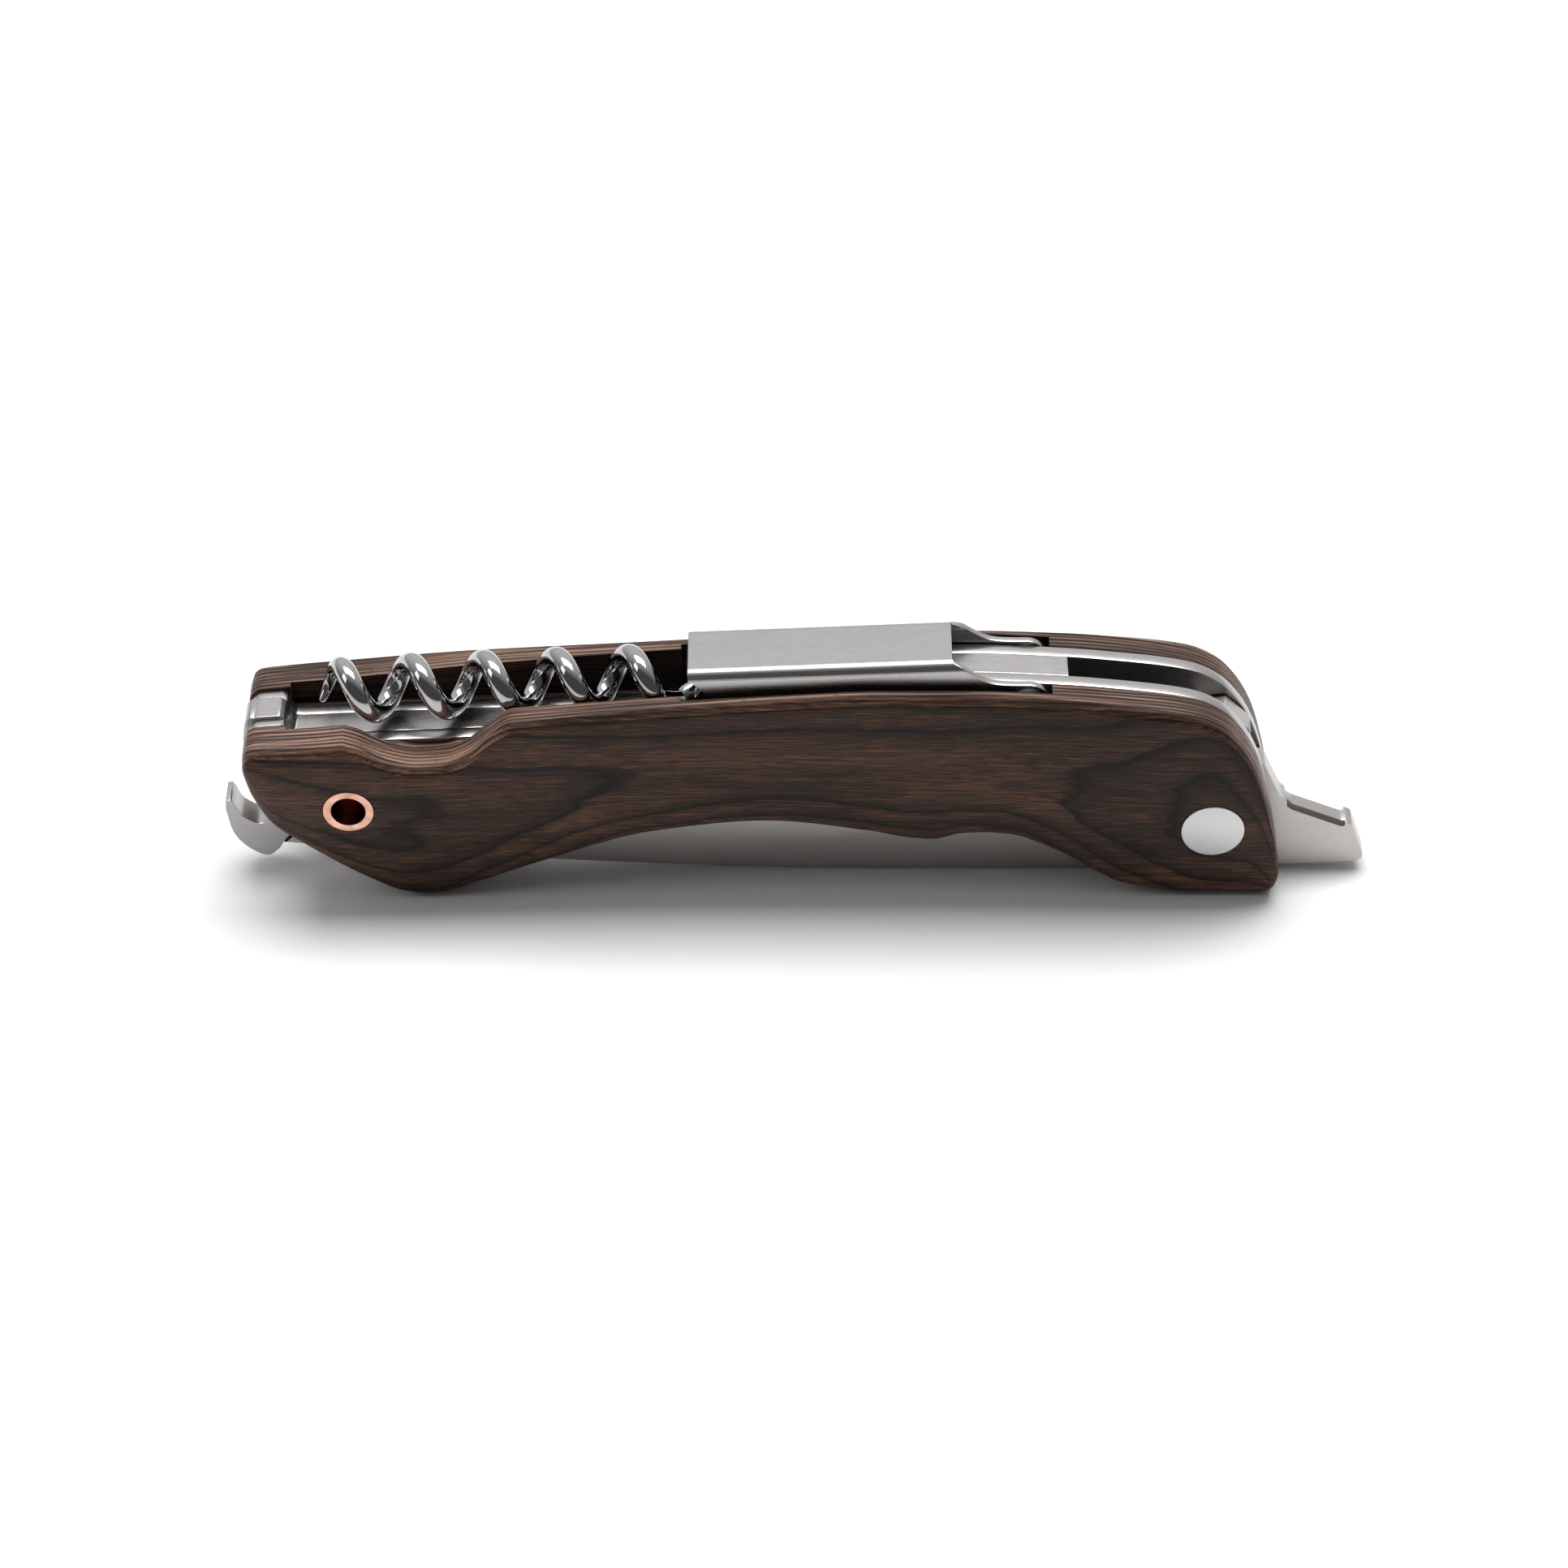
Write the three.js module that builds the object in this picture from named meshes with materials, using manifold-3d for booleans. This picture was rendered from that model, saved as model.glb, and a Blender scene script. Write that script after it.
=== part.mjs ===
// A waiter's corkscrew, folded shut and standing on its belly, in millimetres.
// X runs along the handle towards the knife's tail, Y goes through it from the front scale
// to the back one, and Z is up. z = 0 is the surface it stands on, y = 0 its middle plane.
import * as THREE from 'three';
import { mergeVertices } from 'three/addons/utils/BufferGeometryUtils.js';
import Module from 'manifold-3d';

const wasm = await Module();
wasm.setup();

// ---- Driving dimensions ----
const HANDLE_LEFT = -63.7;
const HANDLE_RIGHT = 57;
const TOOL_MIDDLE = 0.25;         // middle of the whole tool, from the hook to the tail
const LINER = 1.65;               // thickness of one steel liner
const PLATE = 3.5;                // thickness of the middle plate
const STACK = PLATE / 2 + LINER;  // half the thickness of the steel stack
const CHAMFER = 1;                // flat chamfer along the wooden edges
const FIT = 0.06;                 // gap round a piece that sits in a hole
const THROUGH = 12;               // half length of a cutter that goes through everything

const LINER_INSET = 0.4;          // liners stay this far above the wooden belly
const LINER_DROP = 0.35;          // the middle plate stands this far proud of them at the end block
const LINER_RIGHT_GAP = 0.2;      // from the liners' right end to the wood's
const BLOCK_RIGHT = -59.6;        // right end of the stack's left end block
const EAR_LEFT = -11.7;           // left end of the liners' raised part beside the lever
const PLATE_RIGHT = 31.5;
const PLATE_FOOT = 14.7;          // lower edge of the middle plate, above the blade

const WORM_SLOPE = 0.048;         // rise of the worm's axis per millimetre along X
const WORM_AXIS_AT_ZERO = 28.9;
const WORM_PITCH = 8.4;
const WORM_TURN_RADIUS = 2.75;    // from the worm's axis to the middle of its wire
const WORM_WIRE = 1.3;            // radius of the wire
const WORM_TURNS = 4.3;           // turns after the first crest
const FIRST_CREST = -51.9;
const TIP_ANGLE = -0.88 * Math.PI;
const TIP_TURNS = 0.44;           // turns over which the wire tapers to its tip
const TIP_PITCH = 0.85;           // the tip's turn is closer than the others
const TIP_RADIUS = 0.36;
const TIP_END = 0.6;              // the very end of the tip, as a share of its radius
const FLOOR_BELOW_AXIS = 4.95;
const WORM_PIN = { x: -8.2, z: 26.7, r: 1.1 };
const EYE_RADIUS = 3.1;
const EYE_HALF = 1.5;             // half the thickness of the worm's eye
const EYE_CLEARANCE = 0.6;

const LEVER_PIN = { x: 26.8, z: 28.1, r: 1.2 };
const LEVER_PIN_HEAD = 1.7;
const LEVER_PIN_HALF = 5.05;
const LEVER_HALF_WIDTH = 4.45;
const LEVER_SHEET = 0.85;
const LEVER_BEND = 1.3;
const LEVER_LEFT = -12.3;
const LEVER_WEB_END = 18;
const WEB_ABOVE_AXIS = 3.75;
const LEVER_HEIGHT = 8.2;
const LEVER_WASHER = 1.9;         // stays below the liners' top
const ARM_RADIUS = 2.5;

const BLADE = 2.9;                // thickness of the blade
const BLADE_PIVOT = { x: 48.7, z: 11.5 };
const BLADE_WASHER = 5;
const BUSH_RADIUS = 3;
const SHANK_RADIUS = 2;
const SHANK_END = 5.8;
const SHANK_SOCKET = 6.2;         // bottom of the cap's socket for the shank
const RIVET_DISC = { r: 3.7, face: 7.95, thick: 1.05, edge: 0.2 };
const RIVET_BOSS = 2.9;
const TAIL_SWEEP = 21.6;          // room for the tail round the blade's pivot
const TAIL_CHAMFER = 0.6;
const GRIND_START = 9.6;          // the blade's bevel, from its flat to its edge
const GRIND_END = 13.9;
const GRIND_HALF = 0.15;          // half the thickness left at the edge
const STOP_PIN = { x: 33.1, z: 15.5, r: 1 };

const TUBE = { x: -51.7, z: 15.4, outer: 2.95, bore: 2, face: 9 };
const LINER_RIVET_RADIUS = 1.25;
const LINER_RIVETS = {
  left_liner_rivet: { x: -40, z: 18.2 },
  middle_liner_rivet: { x: -16, z: 19.2 },
  right_liner_rivet: { x: 10, z: 21.5 },
};

const WORM_POCKET = 4.3;          // half the width of the pocket that the worm lies in
const WORM_POCKET_DROP = 0.2;     // its floor, below the steel floor
const LEVER_POCKET = 5.2;         // half the width of the pocket round the lever
const LEVER_POCKET_DROP = 0.9;
const POCKET_LEFT = -58.8;
const POCKET_STEP = -13.2;
const POCKET_RIGHT = 29.5;

const STATIONS = 60;              // sections along a wooden scale
const WIRE_SEGMENTS = 84;
const WIRE_SIDES = 9;
const HELIX_STEPS = 14;           // points along one turn
const FINE = 32;                  // sides of a visible round piece
const COARSE = 14;                // sides of a hidden one
const SWEEP_SIDES = 64;

// ---- Curves ----
// A smooth line through a few points that never swings past them.
function smoothLine(points) {
  const rise = points.slice(1).map((p, i) => (p[1] - points[i][1]) / (p[0] - points[i][0]));
  const slopes = points.map((_, i) => {
    if (i === 0) return rise[0];
    if (i === rise.length) return rise[i - 1];
    const before = rise[i - 1];
    const after = rise[i];
    return before * after <= 0 ? 0 : (2 * before * after) / (before + after);
  });
  return (x) => {
    let i = 0;
    while (i < rise.length - 1 && x > points[i + 1][0]) i++;
    const width = points[i + 1][0] - points[i][0];
    const t = THREE.MathUtils.clamp((x - points[i][0]) / width, 0, 1);
    const u = 1 - t;
    const start = points[i][1] * (1 + 2 * t) * u * u + slopes[i] * width * t * u * u;
    return start + points[i + 1][1] * (1 + 2 * u) * t * t - slopes[i + 1] * width * u * t * t;
  };
}

const handleTop = smoothLine([
  [HANDLE_LEFT, 22], [-63.2, 23.1], [-62.3, 23.6], [-60, 23.85], [-55, 24.3], [-38, 26.5], [-18, 28.5],
  [0, 29.9], [10, 30.4], [20, 30.4], [31, 29.9], [38, 29.2], [43, 28.5], [46.3, 27.7], [49.3, 26],
  [51.6, 23.4], [53.6, 19.6], [55, 15], [56.2, 9.5], [HANDLE_RIGHT, 4.6],
]);
const handleBottom = smoothLine([
  [HANDLE_LEFT, 19], [-62.8, 15.6], [-60.8, 11.4], [-57.6, 8.4], [-49.1, 2], [-46, 0.35], [-43.8, 0],
  [-42.6, 0], [-40.8, 0.2], [-38.3, 1.2], [-29.1, 5], [-16.7, 9.3], [-3.3, 10.9], [9, 9.3], [13.5, 8.3],
  [16.3, 8.1], [19.5, 9], [22.4, 9.15], [25.1, 8.9], [30.8, 6.4], [36.4, 2.6], [38.6, 1.4], [46.5, 0],
  [55.4, 0], [56.5, 0.7], [HANDLE_RIGHT, 2.2],
]);
const thumbNotch = smoothLine([
  [-53, 25], [-50.5, 24.1], [-46.8, 22], [-43.5, 21.2], [-40.5, 21.4], [-37.8, 22.6], [-35.2, 25.2],
  [-32.8, 27], [-30, 27.9],
]);
const edgeHalfTop = smoothLine([
  [-64, 8.3], [-55, 8.7], [-40, 8.2], [-18, 7.2], [0, 6.9], [20, 6.9], [35, 7.2], [48, 7.5], [57, 7.1],
]);
const edgeHalfBottom = smoothLine([[-64, 7.2], [-55, 7], [-40, 6.5], [0, 6.3], [35, 6.4], [57, 6.3]]);
const middleHalf = smoothLine([
  [-64, 8.5], [-55, 8.8], [-40, 8.3], [-18, 7.2], [0, 6.85], [20, 7], [35, 7.5], [48, 7.8], [57, 7.3],
]);

const wormAxis = (x) => WORM_AXIS_AT_ZERO + WORM_SLOPE * x;
const trayFloor = (x) => wormAxis(x) - FLOOR_BELOW_AXIS;
const frontTop = (x) => (x > -53 && x < -30 ? Math.min(handleTop(x), thumbNotch(x)) : handleTop(x));

// Half the handle's thickness at a point of its face: thickest across the middle of its height.
function halfThickness(x, z) {
  const t = (z - handleBottom(x)) / (handleTop(x) - handleBottom(x));
  const edges = THREE.MathUtils.lerp(edgeHalfBottom(x), edgeHalfTop(x), t);
  const swell = middleHalf(x) - (edgeHalfBottom(x) + edgeHalfTop(x)) / 2;
  return edges + swell * 4 * t * (1 - t);
}

// Stations along the handle, closer together towards both ends.
const stations = Array.from({ length: STATIONS + 1 }, (_, i) => {
  const t = (1 - Math.cos((Math.PI * i) / STATIONS)) / 2;
  return THREE.MathUtils.lerp(HANDLE_LEFT, HANDLE_RIGHT, t);
});
const between = (low, high) => stations.filter((x) => x > low && x < high);
const spline = (points, steps) => {
  const curve = new THREE.SplineCurve(points.map(([x, z]) => new THREE.Vector2(x, z)));
  return curve.getPoints(steps).map((p) => [p.x, p.y]);
};

// ---- Solids ----
function solid(geometry) {
  geometry.deleteAttribute('normal');
  geometry.deleteAttribute('uv');
  const merged = mergeVertices(geometry, 1e-5);
  const vertProperties = Float32Array.from(merged.attributes.position.array);
  const triVerts = Uint32Array.from(merged.index.array);
  let volume = 0;
  const [a, b, c] = [new THREE.Vector3(), new THREE.Vector3(), new THREE.Vector3()];
  for (let i = 0; i < triVerts.length; i += 3) {
    [a, b, c].forEach((corner, k) => corner.fromArray(vertProperties, 3 * triVerts[i + k]));
    volume += a.dot(b.cross(c));
  }
  if (volume < 0) triVerts.reverse();
  return new wasm.Manifold(new wasm.Mesh({ numProp: 3, vertProperties, triVerts }));
}

// An outline of [x, z] points, made into a plate between two heights of y.
function plate(outline, low, high) {
  const shape = new THREE.Shape(outline.map(([x, z]) => new THREE.Vector2(x, z)));
  const geometry = new THREE.ExtrudeGeometry(shape, { depth: high - low, bevelEnabled: false });
  return solid(geometry.rotateX(Math.PI / 2).translate(0, high, 0));
}

// A section of [y, z] points, made into a bar between two places along x.
function bar(section, left, right) {
  const shape = new THREE.Shape(section.map(([y, z]) => new THREE.Vector2(y, z)));
  const geometry = new THREE.ExtrudeGeometry(shape, { depth: right - left, bevelEnabled: false });
  const turn = new THREE.Matrix4().makeBasis(
    new THREE.Vector3(0, 1, 0), new THREE.Vector3(0, 0, 1), new THREE.Vector3(1, 0, 0),
  );
  return solid(geometry.applyMatrix4(turn).translate(left, 0, 0));
}

function rod(place, radius, low, high, sides = COARSE) {
  const geometry = new THREE.CylinderGeometry(radius, radius, high - low, sides);
  return solid(geometry.translate(place.x, (low + high) / 2, place.z));
}

// A cutter right through the tool.
const hole = (place, radius, sides = COARSE) => rod(place, radius + FIT, -THROUGH, THROUGH, sides);

// A profile of [radius, y] points, turned about a line along Y.
function turned(profile, place, sides = COARSE) {
  const points = profile.map(([r, y]) => new THREE.Vector2(r, y));
  return solid(new THREE.LatheGeometry(points, sides).translate(place.x, 0, place.z));
}

const ring = (place, bore, outer, low, high, sides = COARSE) =>
  turned([[bore, low], [outer, low], [outer, high], [bore, high], [bore, low]], place, sides);

const cutAll = (body, cutters) => cutters.reduce((left, cutter) => left.subtract(cutter), body);

// A closed skin over a row of rings with the same number of points each.
function loft(rings) {
  const count = rings[0].length;
  const index = [];
  for (let i = 0; i < rings.length - 1; i++) {
    for (let k = 0; k < count; k++) {
      const a = i * count + k;
      const b = i * count + ((k + 1) % count);
      index.push(a, b, a + count, b, b + count, a + count);
    }
  }
  const last = (rings.length - 1) * count;
  for (let k = 1; k < count - 1; k++) {
    index.push(0, k + 1, k, last, last + k, last + k + 1);
  }
  const geometry = new THREE.BufferGeometry();
  geometry.setAttribute('position', new THREE.Float32BufferAttribute(rings.flat(2), 3));
  geometry.setIndex(index);
  return solid(geometry);
}

// ---- Materials ----
const material = (color, roughness, metalness) => () =>
  new THREE.MeshStandardMaterial({ color, roughness, metalness });
const wood = material('#3b2a22', 0.5, 0);
const satin = material('#b9b8b5', 0.38, 1);
const brushed = material('#c4c3c1', 0.3, 1);
const polished = material('#c9c9c9', 0.12, 1);
const copper = material('#c07a5c', 0.3, 1);
const bronze = material('#b08a4a', 0.4, 1);

// The outlines start from the handle's own zero; the whole tool is centred on the origin.
const group = new THREE.Group();
group.position.x = -TOOL_MIDDLE;

function add(name, body, finish) {
  const mesh = body.getMesh();
  const geometry = new THREE.BufferGeometry();
  geometry.setAttribute('position', new THREE.Float32BufferAttribute(mesh.vertProperties, 3));
  geometry.setIndex(new THREE.Uint32BufferAttribute(mesh.triVerts, 1));
  geometry.computeVertexNormals();
  const piece = new THREE.Mesh(geometry, finish());
  piece.name = name;
  group.add(piece);
}

// ---- Wooden scales ----
const discInside = RIVET_DISC.face - RIVET_DISC.thick;

// The pocket in the inner faces: narrow beside the worm, wide beside the lever.
function pocket(side) {
  const above = 40;
  const cut = (left, right, depth, drop) => {
    const outline = [
      [left, trayFloor(left) - drop], [right, trayFloor(right) - drop], [right, above], [left, above],
    ];
    return side < 0 ? plate(outline, -depth, -STACK + 1) : plate(outline, STACK - 1, depth);
  };
  const besideWorm = cut(POCKET_LEFT, POCKET_STEP + 0.5, WORM_POCKET, WORM_POCKET_DROP);
  return besideWorm.add(cut(POCKET_STEP, POCKET_RIGHT, LEVER_POCKET, LEVER_POCKET_DROP));
}

function scale(side, topLine) {
  const rings = stations.map((x) => {
    const bottom = handleBottom(x);
    const top = topLine(x);
    const fromEnd = Math.min(x - HANDLE_LEFT, HANDLE_RIGHT - x, CHAMFER) / CHAMFER;
    const endRound = CHAMFER * (1 - Math.sqrt(1 - (1 - fromEnd) ** 2));
    const cut = Math.min(CHAMFER, (top - bottom) / 2.8);
    const face = (z) => halfThickness(x, z) - endRound;
    const middle = (bottom + top) / 2;
    const points = [
      [STACK, bottom], [face(bottom) - cut, bottom], [face(bottom + cut), bottom + cut],
      [face(middle), middle], [face(top - cut), top - cut], [face(top) - cut, top], [STACK, top],
    ];
    return points.map(([y, z]) => [x, side * y, z]);
  });
  const seat = discInside - FIT;
  const counterbore = side < 0 ? [-THROUGH, -seat] : [seat, THROUGH];
  return cutAll(loft(rings), [
    pocket(side), hole(TUBE, TUBE.outer, FINE), hole(BLADE_PIVOT, RIVET_BOSS, FINE),
    rod(BLADE_PIVOT, RIVET_DISC.r + FIT, ...counterbore, FINE),
  ]);
}
add('front_scale', scale(-1, frontTop), wood);
add('back_scale', scale(1, handleTop), wood);

// ---- Steel liners and middle plate ----
const rivetHoles = Object.values(LINER_RIVETS).map((place) => hole(place, LINER_RIVET_RADIUS));
const linerRight = HANDLE_RIGHT - LINER_RIGHT_GAP;
const linerFoot = -60.7;
const trayStart = [
  [BLOCK_RIGHT, handleTop(BLOCK_RIGHT) - 0.1], [-59.1, 23.3], [-58.8, 22.6], [-58.5, 21.7],
  [-58.1, 21.25], [-57.4, trayFloor(-57.4)],
];

const linerBlockTop = [-62.6, -61.6, -60.6, BLOCK_RIGHT - 0.1].map((x) => [x, handleTop(x) - LINER_DROP]);
const linerOutline = [
  [-63.3, 17.9], [-63.4, 20], [-63.35, 22], [-63, 22.8],
  ...linerBlockTop, ...trayStart.slice(1), [EAR_LEFT, trayFloor(EAR_LEFT)], [EAR_LEFT + 0.2, 28],
  [EAR_LEFT + 1, handleTop(EAR_LEFT + 1)],
  ...between(EAR_LEFT + 1, linerRight).map((x) => [x, handleTop(x)]),
  ...between(-60, linerRight).reverse().map((x) => [x, handleBottom(x) + LINER_INSET]),
  [linerFoot, handleBottom(linerFoot) + LINER_INSET], [linerFoot, 16.6], [-61.2, 17.3],
];
const liner = (low, high) => cutAll(plate(linerOutline, low, high), [
  hole(TUBE, TUBE.outer, FINE), hole(BLADE_PIVOT, SHANK_RADIUS), hole(STOP_PIN, STOP_PIN.r),
  hole(LEVER_PIN, LEVER_PIN.r), hole(WORM_PIN, WORM_PIN.r), ...rivetHoles,
]);
add('front_liner', liner(-STACK, -PLATE / 2), satin);
add('back_liner', liner(PLATE / 2, STACK), satin);

const trayRight = WORM_PIN.x + EYE_RADIUS + EYE_CLEARANCE;
const plateBlockTop = between(-63, BLOCK_RIGHT).map((x) => [x, handleTop(x)]);
const hook = spline([
  [-60.4, 4.6], [-61.2, 3.3], [-62.6, 2.4], [-64.7, 3.6], [-66.3, 5.9], [-67, 9.6],
], 14);
const mouth = spline([[-65.9, 10.3], [-65.1, 8.5], [-63.2, 7.4], [-61.4, 8.2], [-60.4, 10.2]], 10);
const nose = spline([[-63, 17.8], [-64.05, 19], [-64.1, 20.6], [-63.7, 22.9], [-63, 23.6]], 8);
const aboveBlade = spline([
  [-36, 14.6], [-44, 13.9], [-50, 12.2], [-54.4, 10.1], [-58, 7.3], [-60, 5.2],
], 10);
const middleOutline = [
  ...nose, ...plateBlockTop, ...trayStart,
  [trayRight, trayFloor(trayRight)], [trayRight, handleTop(trayRight)],
  ...between(trayRight, PLATE_RIGHT).map((x) => [x, handleTop(x)]),
  [PLATE_RIGHT, handleTop(PLATE_RIGHT)], [PLATE_RIGHT, PLATE_FOOT], ...aboveBlade, ...hook,
  [-66.9, 10.9], [-66.3, 11], ...mouth, [-60.3, 14.6], [-61.2, 16.7],
];
add('middle_plate', cutAll(plate(middleOutline, -PLATE / 2, PLATE / 2), [
  rod(BLADE_PIVOT, TAIL_SWEEP, -THROUGH, THROUGH, SWEEP_SIDES),
  rod(WORM_PIN, EYE_RADIUS + EYE_CLEARANCE, -THROUGH, THROUGH),
  hole(TUBE, TUBE.outer, FINE), hole(LEVER_PIN, LEVER_PIN.r), ...rivetHoles,
]), satin);

for (const [name, place] of Object.entries(LINER_RIVETS)) {
  add(name, rod(place, LINER_RIVET_RADIUS, -STACK, STACK), satin);
}
add('lanyard_tube', ring(TUBE, TUBE.bore, TUBE.outer, -TUBE.face, TUBE.face, FINE), copper);

// ---- Knife pivot ----
const discRim = RIVET_DISC.r - RIVET_DISC.edge;
const socket = SHANK_RADIUS + FIT;
const rivetProfile = [
  [0, -RIVET_DISC.face], [discRim, -RIVET_DISC.face], [RIVET_DISC.r, RIVET_DISC.edge - RIVET_DISC.face],
  [RIVET_DISC.r, -discInside], [RIVET_BOSS, -discInside], [RIVET_BOSS, -STACK - FIT],
  [SHANK_RADIUS, -STACK - FIT], [SHANK_RADIUS, SHANK_END], [0, SHANK_END],
];
const capProfile = [
  [0, SHANK_SOCKET], [socket, SHANK_SOCKET], [socket, STACK + FIT], [RIVET_BOSS, STACK + FIT],
  [RIVET_BOSS, discInside], [RIVET_DISC.r, discInside], [RIVET_DISC.r, RIVET_DISC.face - RIVET_DISC.edge],
  [discRim, RIVET_DISC.face], [0, RIVET_DISC.face],
];
add('blade_rivet', turned(rivetProfile, BLADE_PIVOT, FINE), satin);
add('blade_rivet_cap', turned(capProfile, BLADE_PIVOT, FINE), satin);
add('blade_bush', ring(BLADE_PIVOT, socket, BUSH_RADIUS, -PLATE / 2, PLATE / 2, FINE), bronze);
for (const [name, low, high] of [
  ['front_blade_washer', -PLATE / 2, -BLADE / 2], ['back_blade_washer', BLADE / 2, PLATE / 2],
]) {
  add(name, ring(BLADE_PIVOT, BUSH_RADIUS + FIT, BLADE_WASHER, low, high, FINE), bronze);
}
add('blade_stop_pin', rod(STOP_PIN, STOP_PIN.r, -STACK, STACK), satin);

// ---- Blade, its edge turned up into the handle ----
const bladeEdge = spline([
  [-59.7, 4.7], [-57.4, 6.7], [-53.8, 9.3], [-49.5, 11.3], [-43.8, 13], [-36, 13.8],
], 12);
const bladeSpine = spline([
  [-60.3, 4.3], [-57.5, 3.9], [-29.8, 1.6], [-7.6, 0.5], [16, 0.15], [35.6, 0.2], [57.6, 0.7],
  [66.6, 1.15],
], 20);
const bladeTail = [[67.4, 1.6], [67.5, 2.3], [65.9, 6.9], [65.2, 7.3], [64.6, 7.2], [58.6, 9.8]];
const bladeHeel = [
  [57.2, 11.2], [56.2, 13.4], [55, 16.2], [52.4, 17.2], [53, 21.4], [50.1, 24.3], [46.8, 23.8],
  [43.4, 21], [40.2, 16.4], [37.6, 14.9], [34.2, 14.35], [32.2, 14.3], [31.4, 13.8],
];
const bladeOutline = [...bladeSpine, ...bladeTail, ...bladeHeel, ...bladeEdge.reverse()];
const tailTop = [[57.9, 10.35], [58.6, 9.85], [59.6, 9.4], [64.6, 7.25], [65, 7.3]];

function grind(side) {
  const above = 16;
  return bar([
    [side * BLADE / 2, GRIND_START], [side * GRIND_HALF, GRIND_END], [side * GRIND_HALF, above],
    [side * BLADE, above], [side * BLADE, GRIND_START],
  ], -62, 31);
}

// Takes off the long edge between the tail's top and one of its faces.
function tailChamfer(side) {
  const beyond = 0.2;
  const section = [
    [BLADE / 2 + beyond, -TAIL_CHAMFER - beyond], [BLADE / 2 - TAIL_CHAMFER - beyond, beyond],
    [BLADE / 2 + beyond, beyond],
  ];
  return loft(tailTop.map(([x, z]) => section.map(([y, rise]) => [x, side * y, z + rise])));
}
add('blade', cutAll(plate(bladeOutline, -BLADE / 2, BLADE / 2), [
  grind(1), grind(-1), tailChamfer(1), tailChamfer(-1), hole(BLADE_PIVOT, BUSH_RADIUS, FINE),
]), satin);

// ---- Lever, one bent sheet ----
const webTop = (x) => wormAxis(x) + WEB_ABOVE_AXIS;
function arch(halfWidth, top, bottom, radius) {
  const shape = new THREE.Shape();
  shape.moveTo(-halfWidth, bottom);
  shape.lineTo(halfWidth, bottom);
  shape.lineTo(halfWidth, top - radius);
  shape.absarc(halfWidth - radius, top - radius, radius, 0, Math.PI / 2);
  shape.absarc(radius - halfWidth, top - radius, radius, Math.PI / 2, Math.PI);
  return shape.getPoints(6).map((p) => [p.x, p.y]);
}
function channel() {
  const below = -14;
  const outer = bar(arch(LEVER_HALF_WIDTH, 0, below, LEVER_BEND), -20, 40);
  const inside = arch(
    LEVER_HALF_WIDTH - LEVER_SHEET, -LEVER_SHEET, below - 1, LEVER_BEND - LEVER_SHEET,
  );
  const tilt = THREE.MathUtils.radToDeg(Math.atan(WORM_SLOPE));
  return outer.subtract(bar(inside, -21, 41)).rotate([0, -tilt, 0]).translate([0, 0, webTop(0)]);
}
const armEnd = Array.from({ length: 9 }, (_, i) => {
  const angle = Math.PI / 2 - (i * Math.PI) / 8;
  return [LEVER_PIN.x + ARM_RADIUS * Math.cos(angle), LEVER_PIN.z + ARM_RADIUS * Math.sin(angle)];
});
const leverAbove = 36;
const leverSide = [
  [LEVER_LEFT, leverAbove], [LEVER_WEB_END, leverAbove], [LEVER_WEB_END, webTop(LEVER_WEB_END) - 0.1],
  [19.2, 32.9], [20.6, 31.9], [22.2, 31], [24, 30.65], ...armEnd,
  [20, webTop(20) - LEVER_HEIGHT], [-7.6, webTop(-7.6) - LEVER_HEIGHT], [-9, 24.6], [-9.7, 26],
  [-9.9, 28.4], [-10.8, 29.8], [LEVER_LEFT, 31.2],
];
const webOpening = [[LEVER_WEB_END, 31.4], [24, 31.4], [24, leverAbove], [LEVER_WEB_END, leverAbove]];
add('lever', cutAll(channel().intersect(plate(leverSide, -6, 6)), [
  plate(webOpening, -3.4, 3.4), hole(LEVER_PIN, LEVER_PIN.r),
]), brushed);

const headInside = LEVER_HALF_WIDTH + FIT;
const leverPinProfile = [
  [0, -LEVER_PIN_HALF], [LEVER_PIN_HEAD, -LEVER_PIN_HALF], [LEVER_PIN_HEAD, -headInside],
  [LEVER_PIN.r, -headInside], [LEVER_PIN.r, headInside], [LEVER_PIN_HEAD, headInside],
  [LEVER_PIN_HEAD, LEVER_PIN_HALF], [0, LEVER_PIN_HALF],
];
add('lever_pin', turned(leverPinProfile, LEVER_PIN), satin);
const leverInside = LEVER_HALF_WIDTH - LEVER_SHEET;
for (const [name, low, high] of [
  ['front_lever_washer', -leverInside, -STACK], ['back_lever_washer', STACK, leverInside],
]) {
  add(name, ring(LEVER_PIN, LEVER_PIN.r + FIT, LEVER_WASHER, low, high), bronze);
}

// ---- Worm ----
function helixPoint(angle) {
  const pitch = angle > 0 ? WORM_PITCH : WORM_PITCH * TIP_PITCH;
  const x = FIRST_CREST + (pitch * angle) / (2 * Math.PI);
  const across = -WORM_TURN_RADIUS * Math.sin(angle);
  return new THREE.Vector3(x, across, wormAxis(x) + WORM_TURN_RADIUS * Math.cos(angle));
}
const helixLength = WORM_TURNS * 2 * Math.PI - TIP_ANGLE;
const helixSteps = Math.round((helixLength / (2 * Math.PI)) * HELIX_STEPS);
const wirePath = new THREE.CatmullRomCurve3([
  ...Array.from({ length: helixSteps + 1 }, (_, i) =>
    helixPoint(TIP_ANGLE + (helixLength * i) / helixSteps)),
  new THREE.Vector3(-13.4, -1.3, 25.9),
  new THREE.Vector3(-12.2, -0.5, 26.3),
  new THREE.Vector3(-10.9, 0, 26.6),
  new THREE.Vector3(WORM_PIN.x - EYE_RADIUS + 1.2, 0, WORM_PIN.z),
]);
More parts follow.
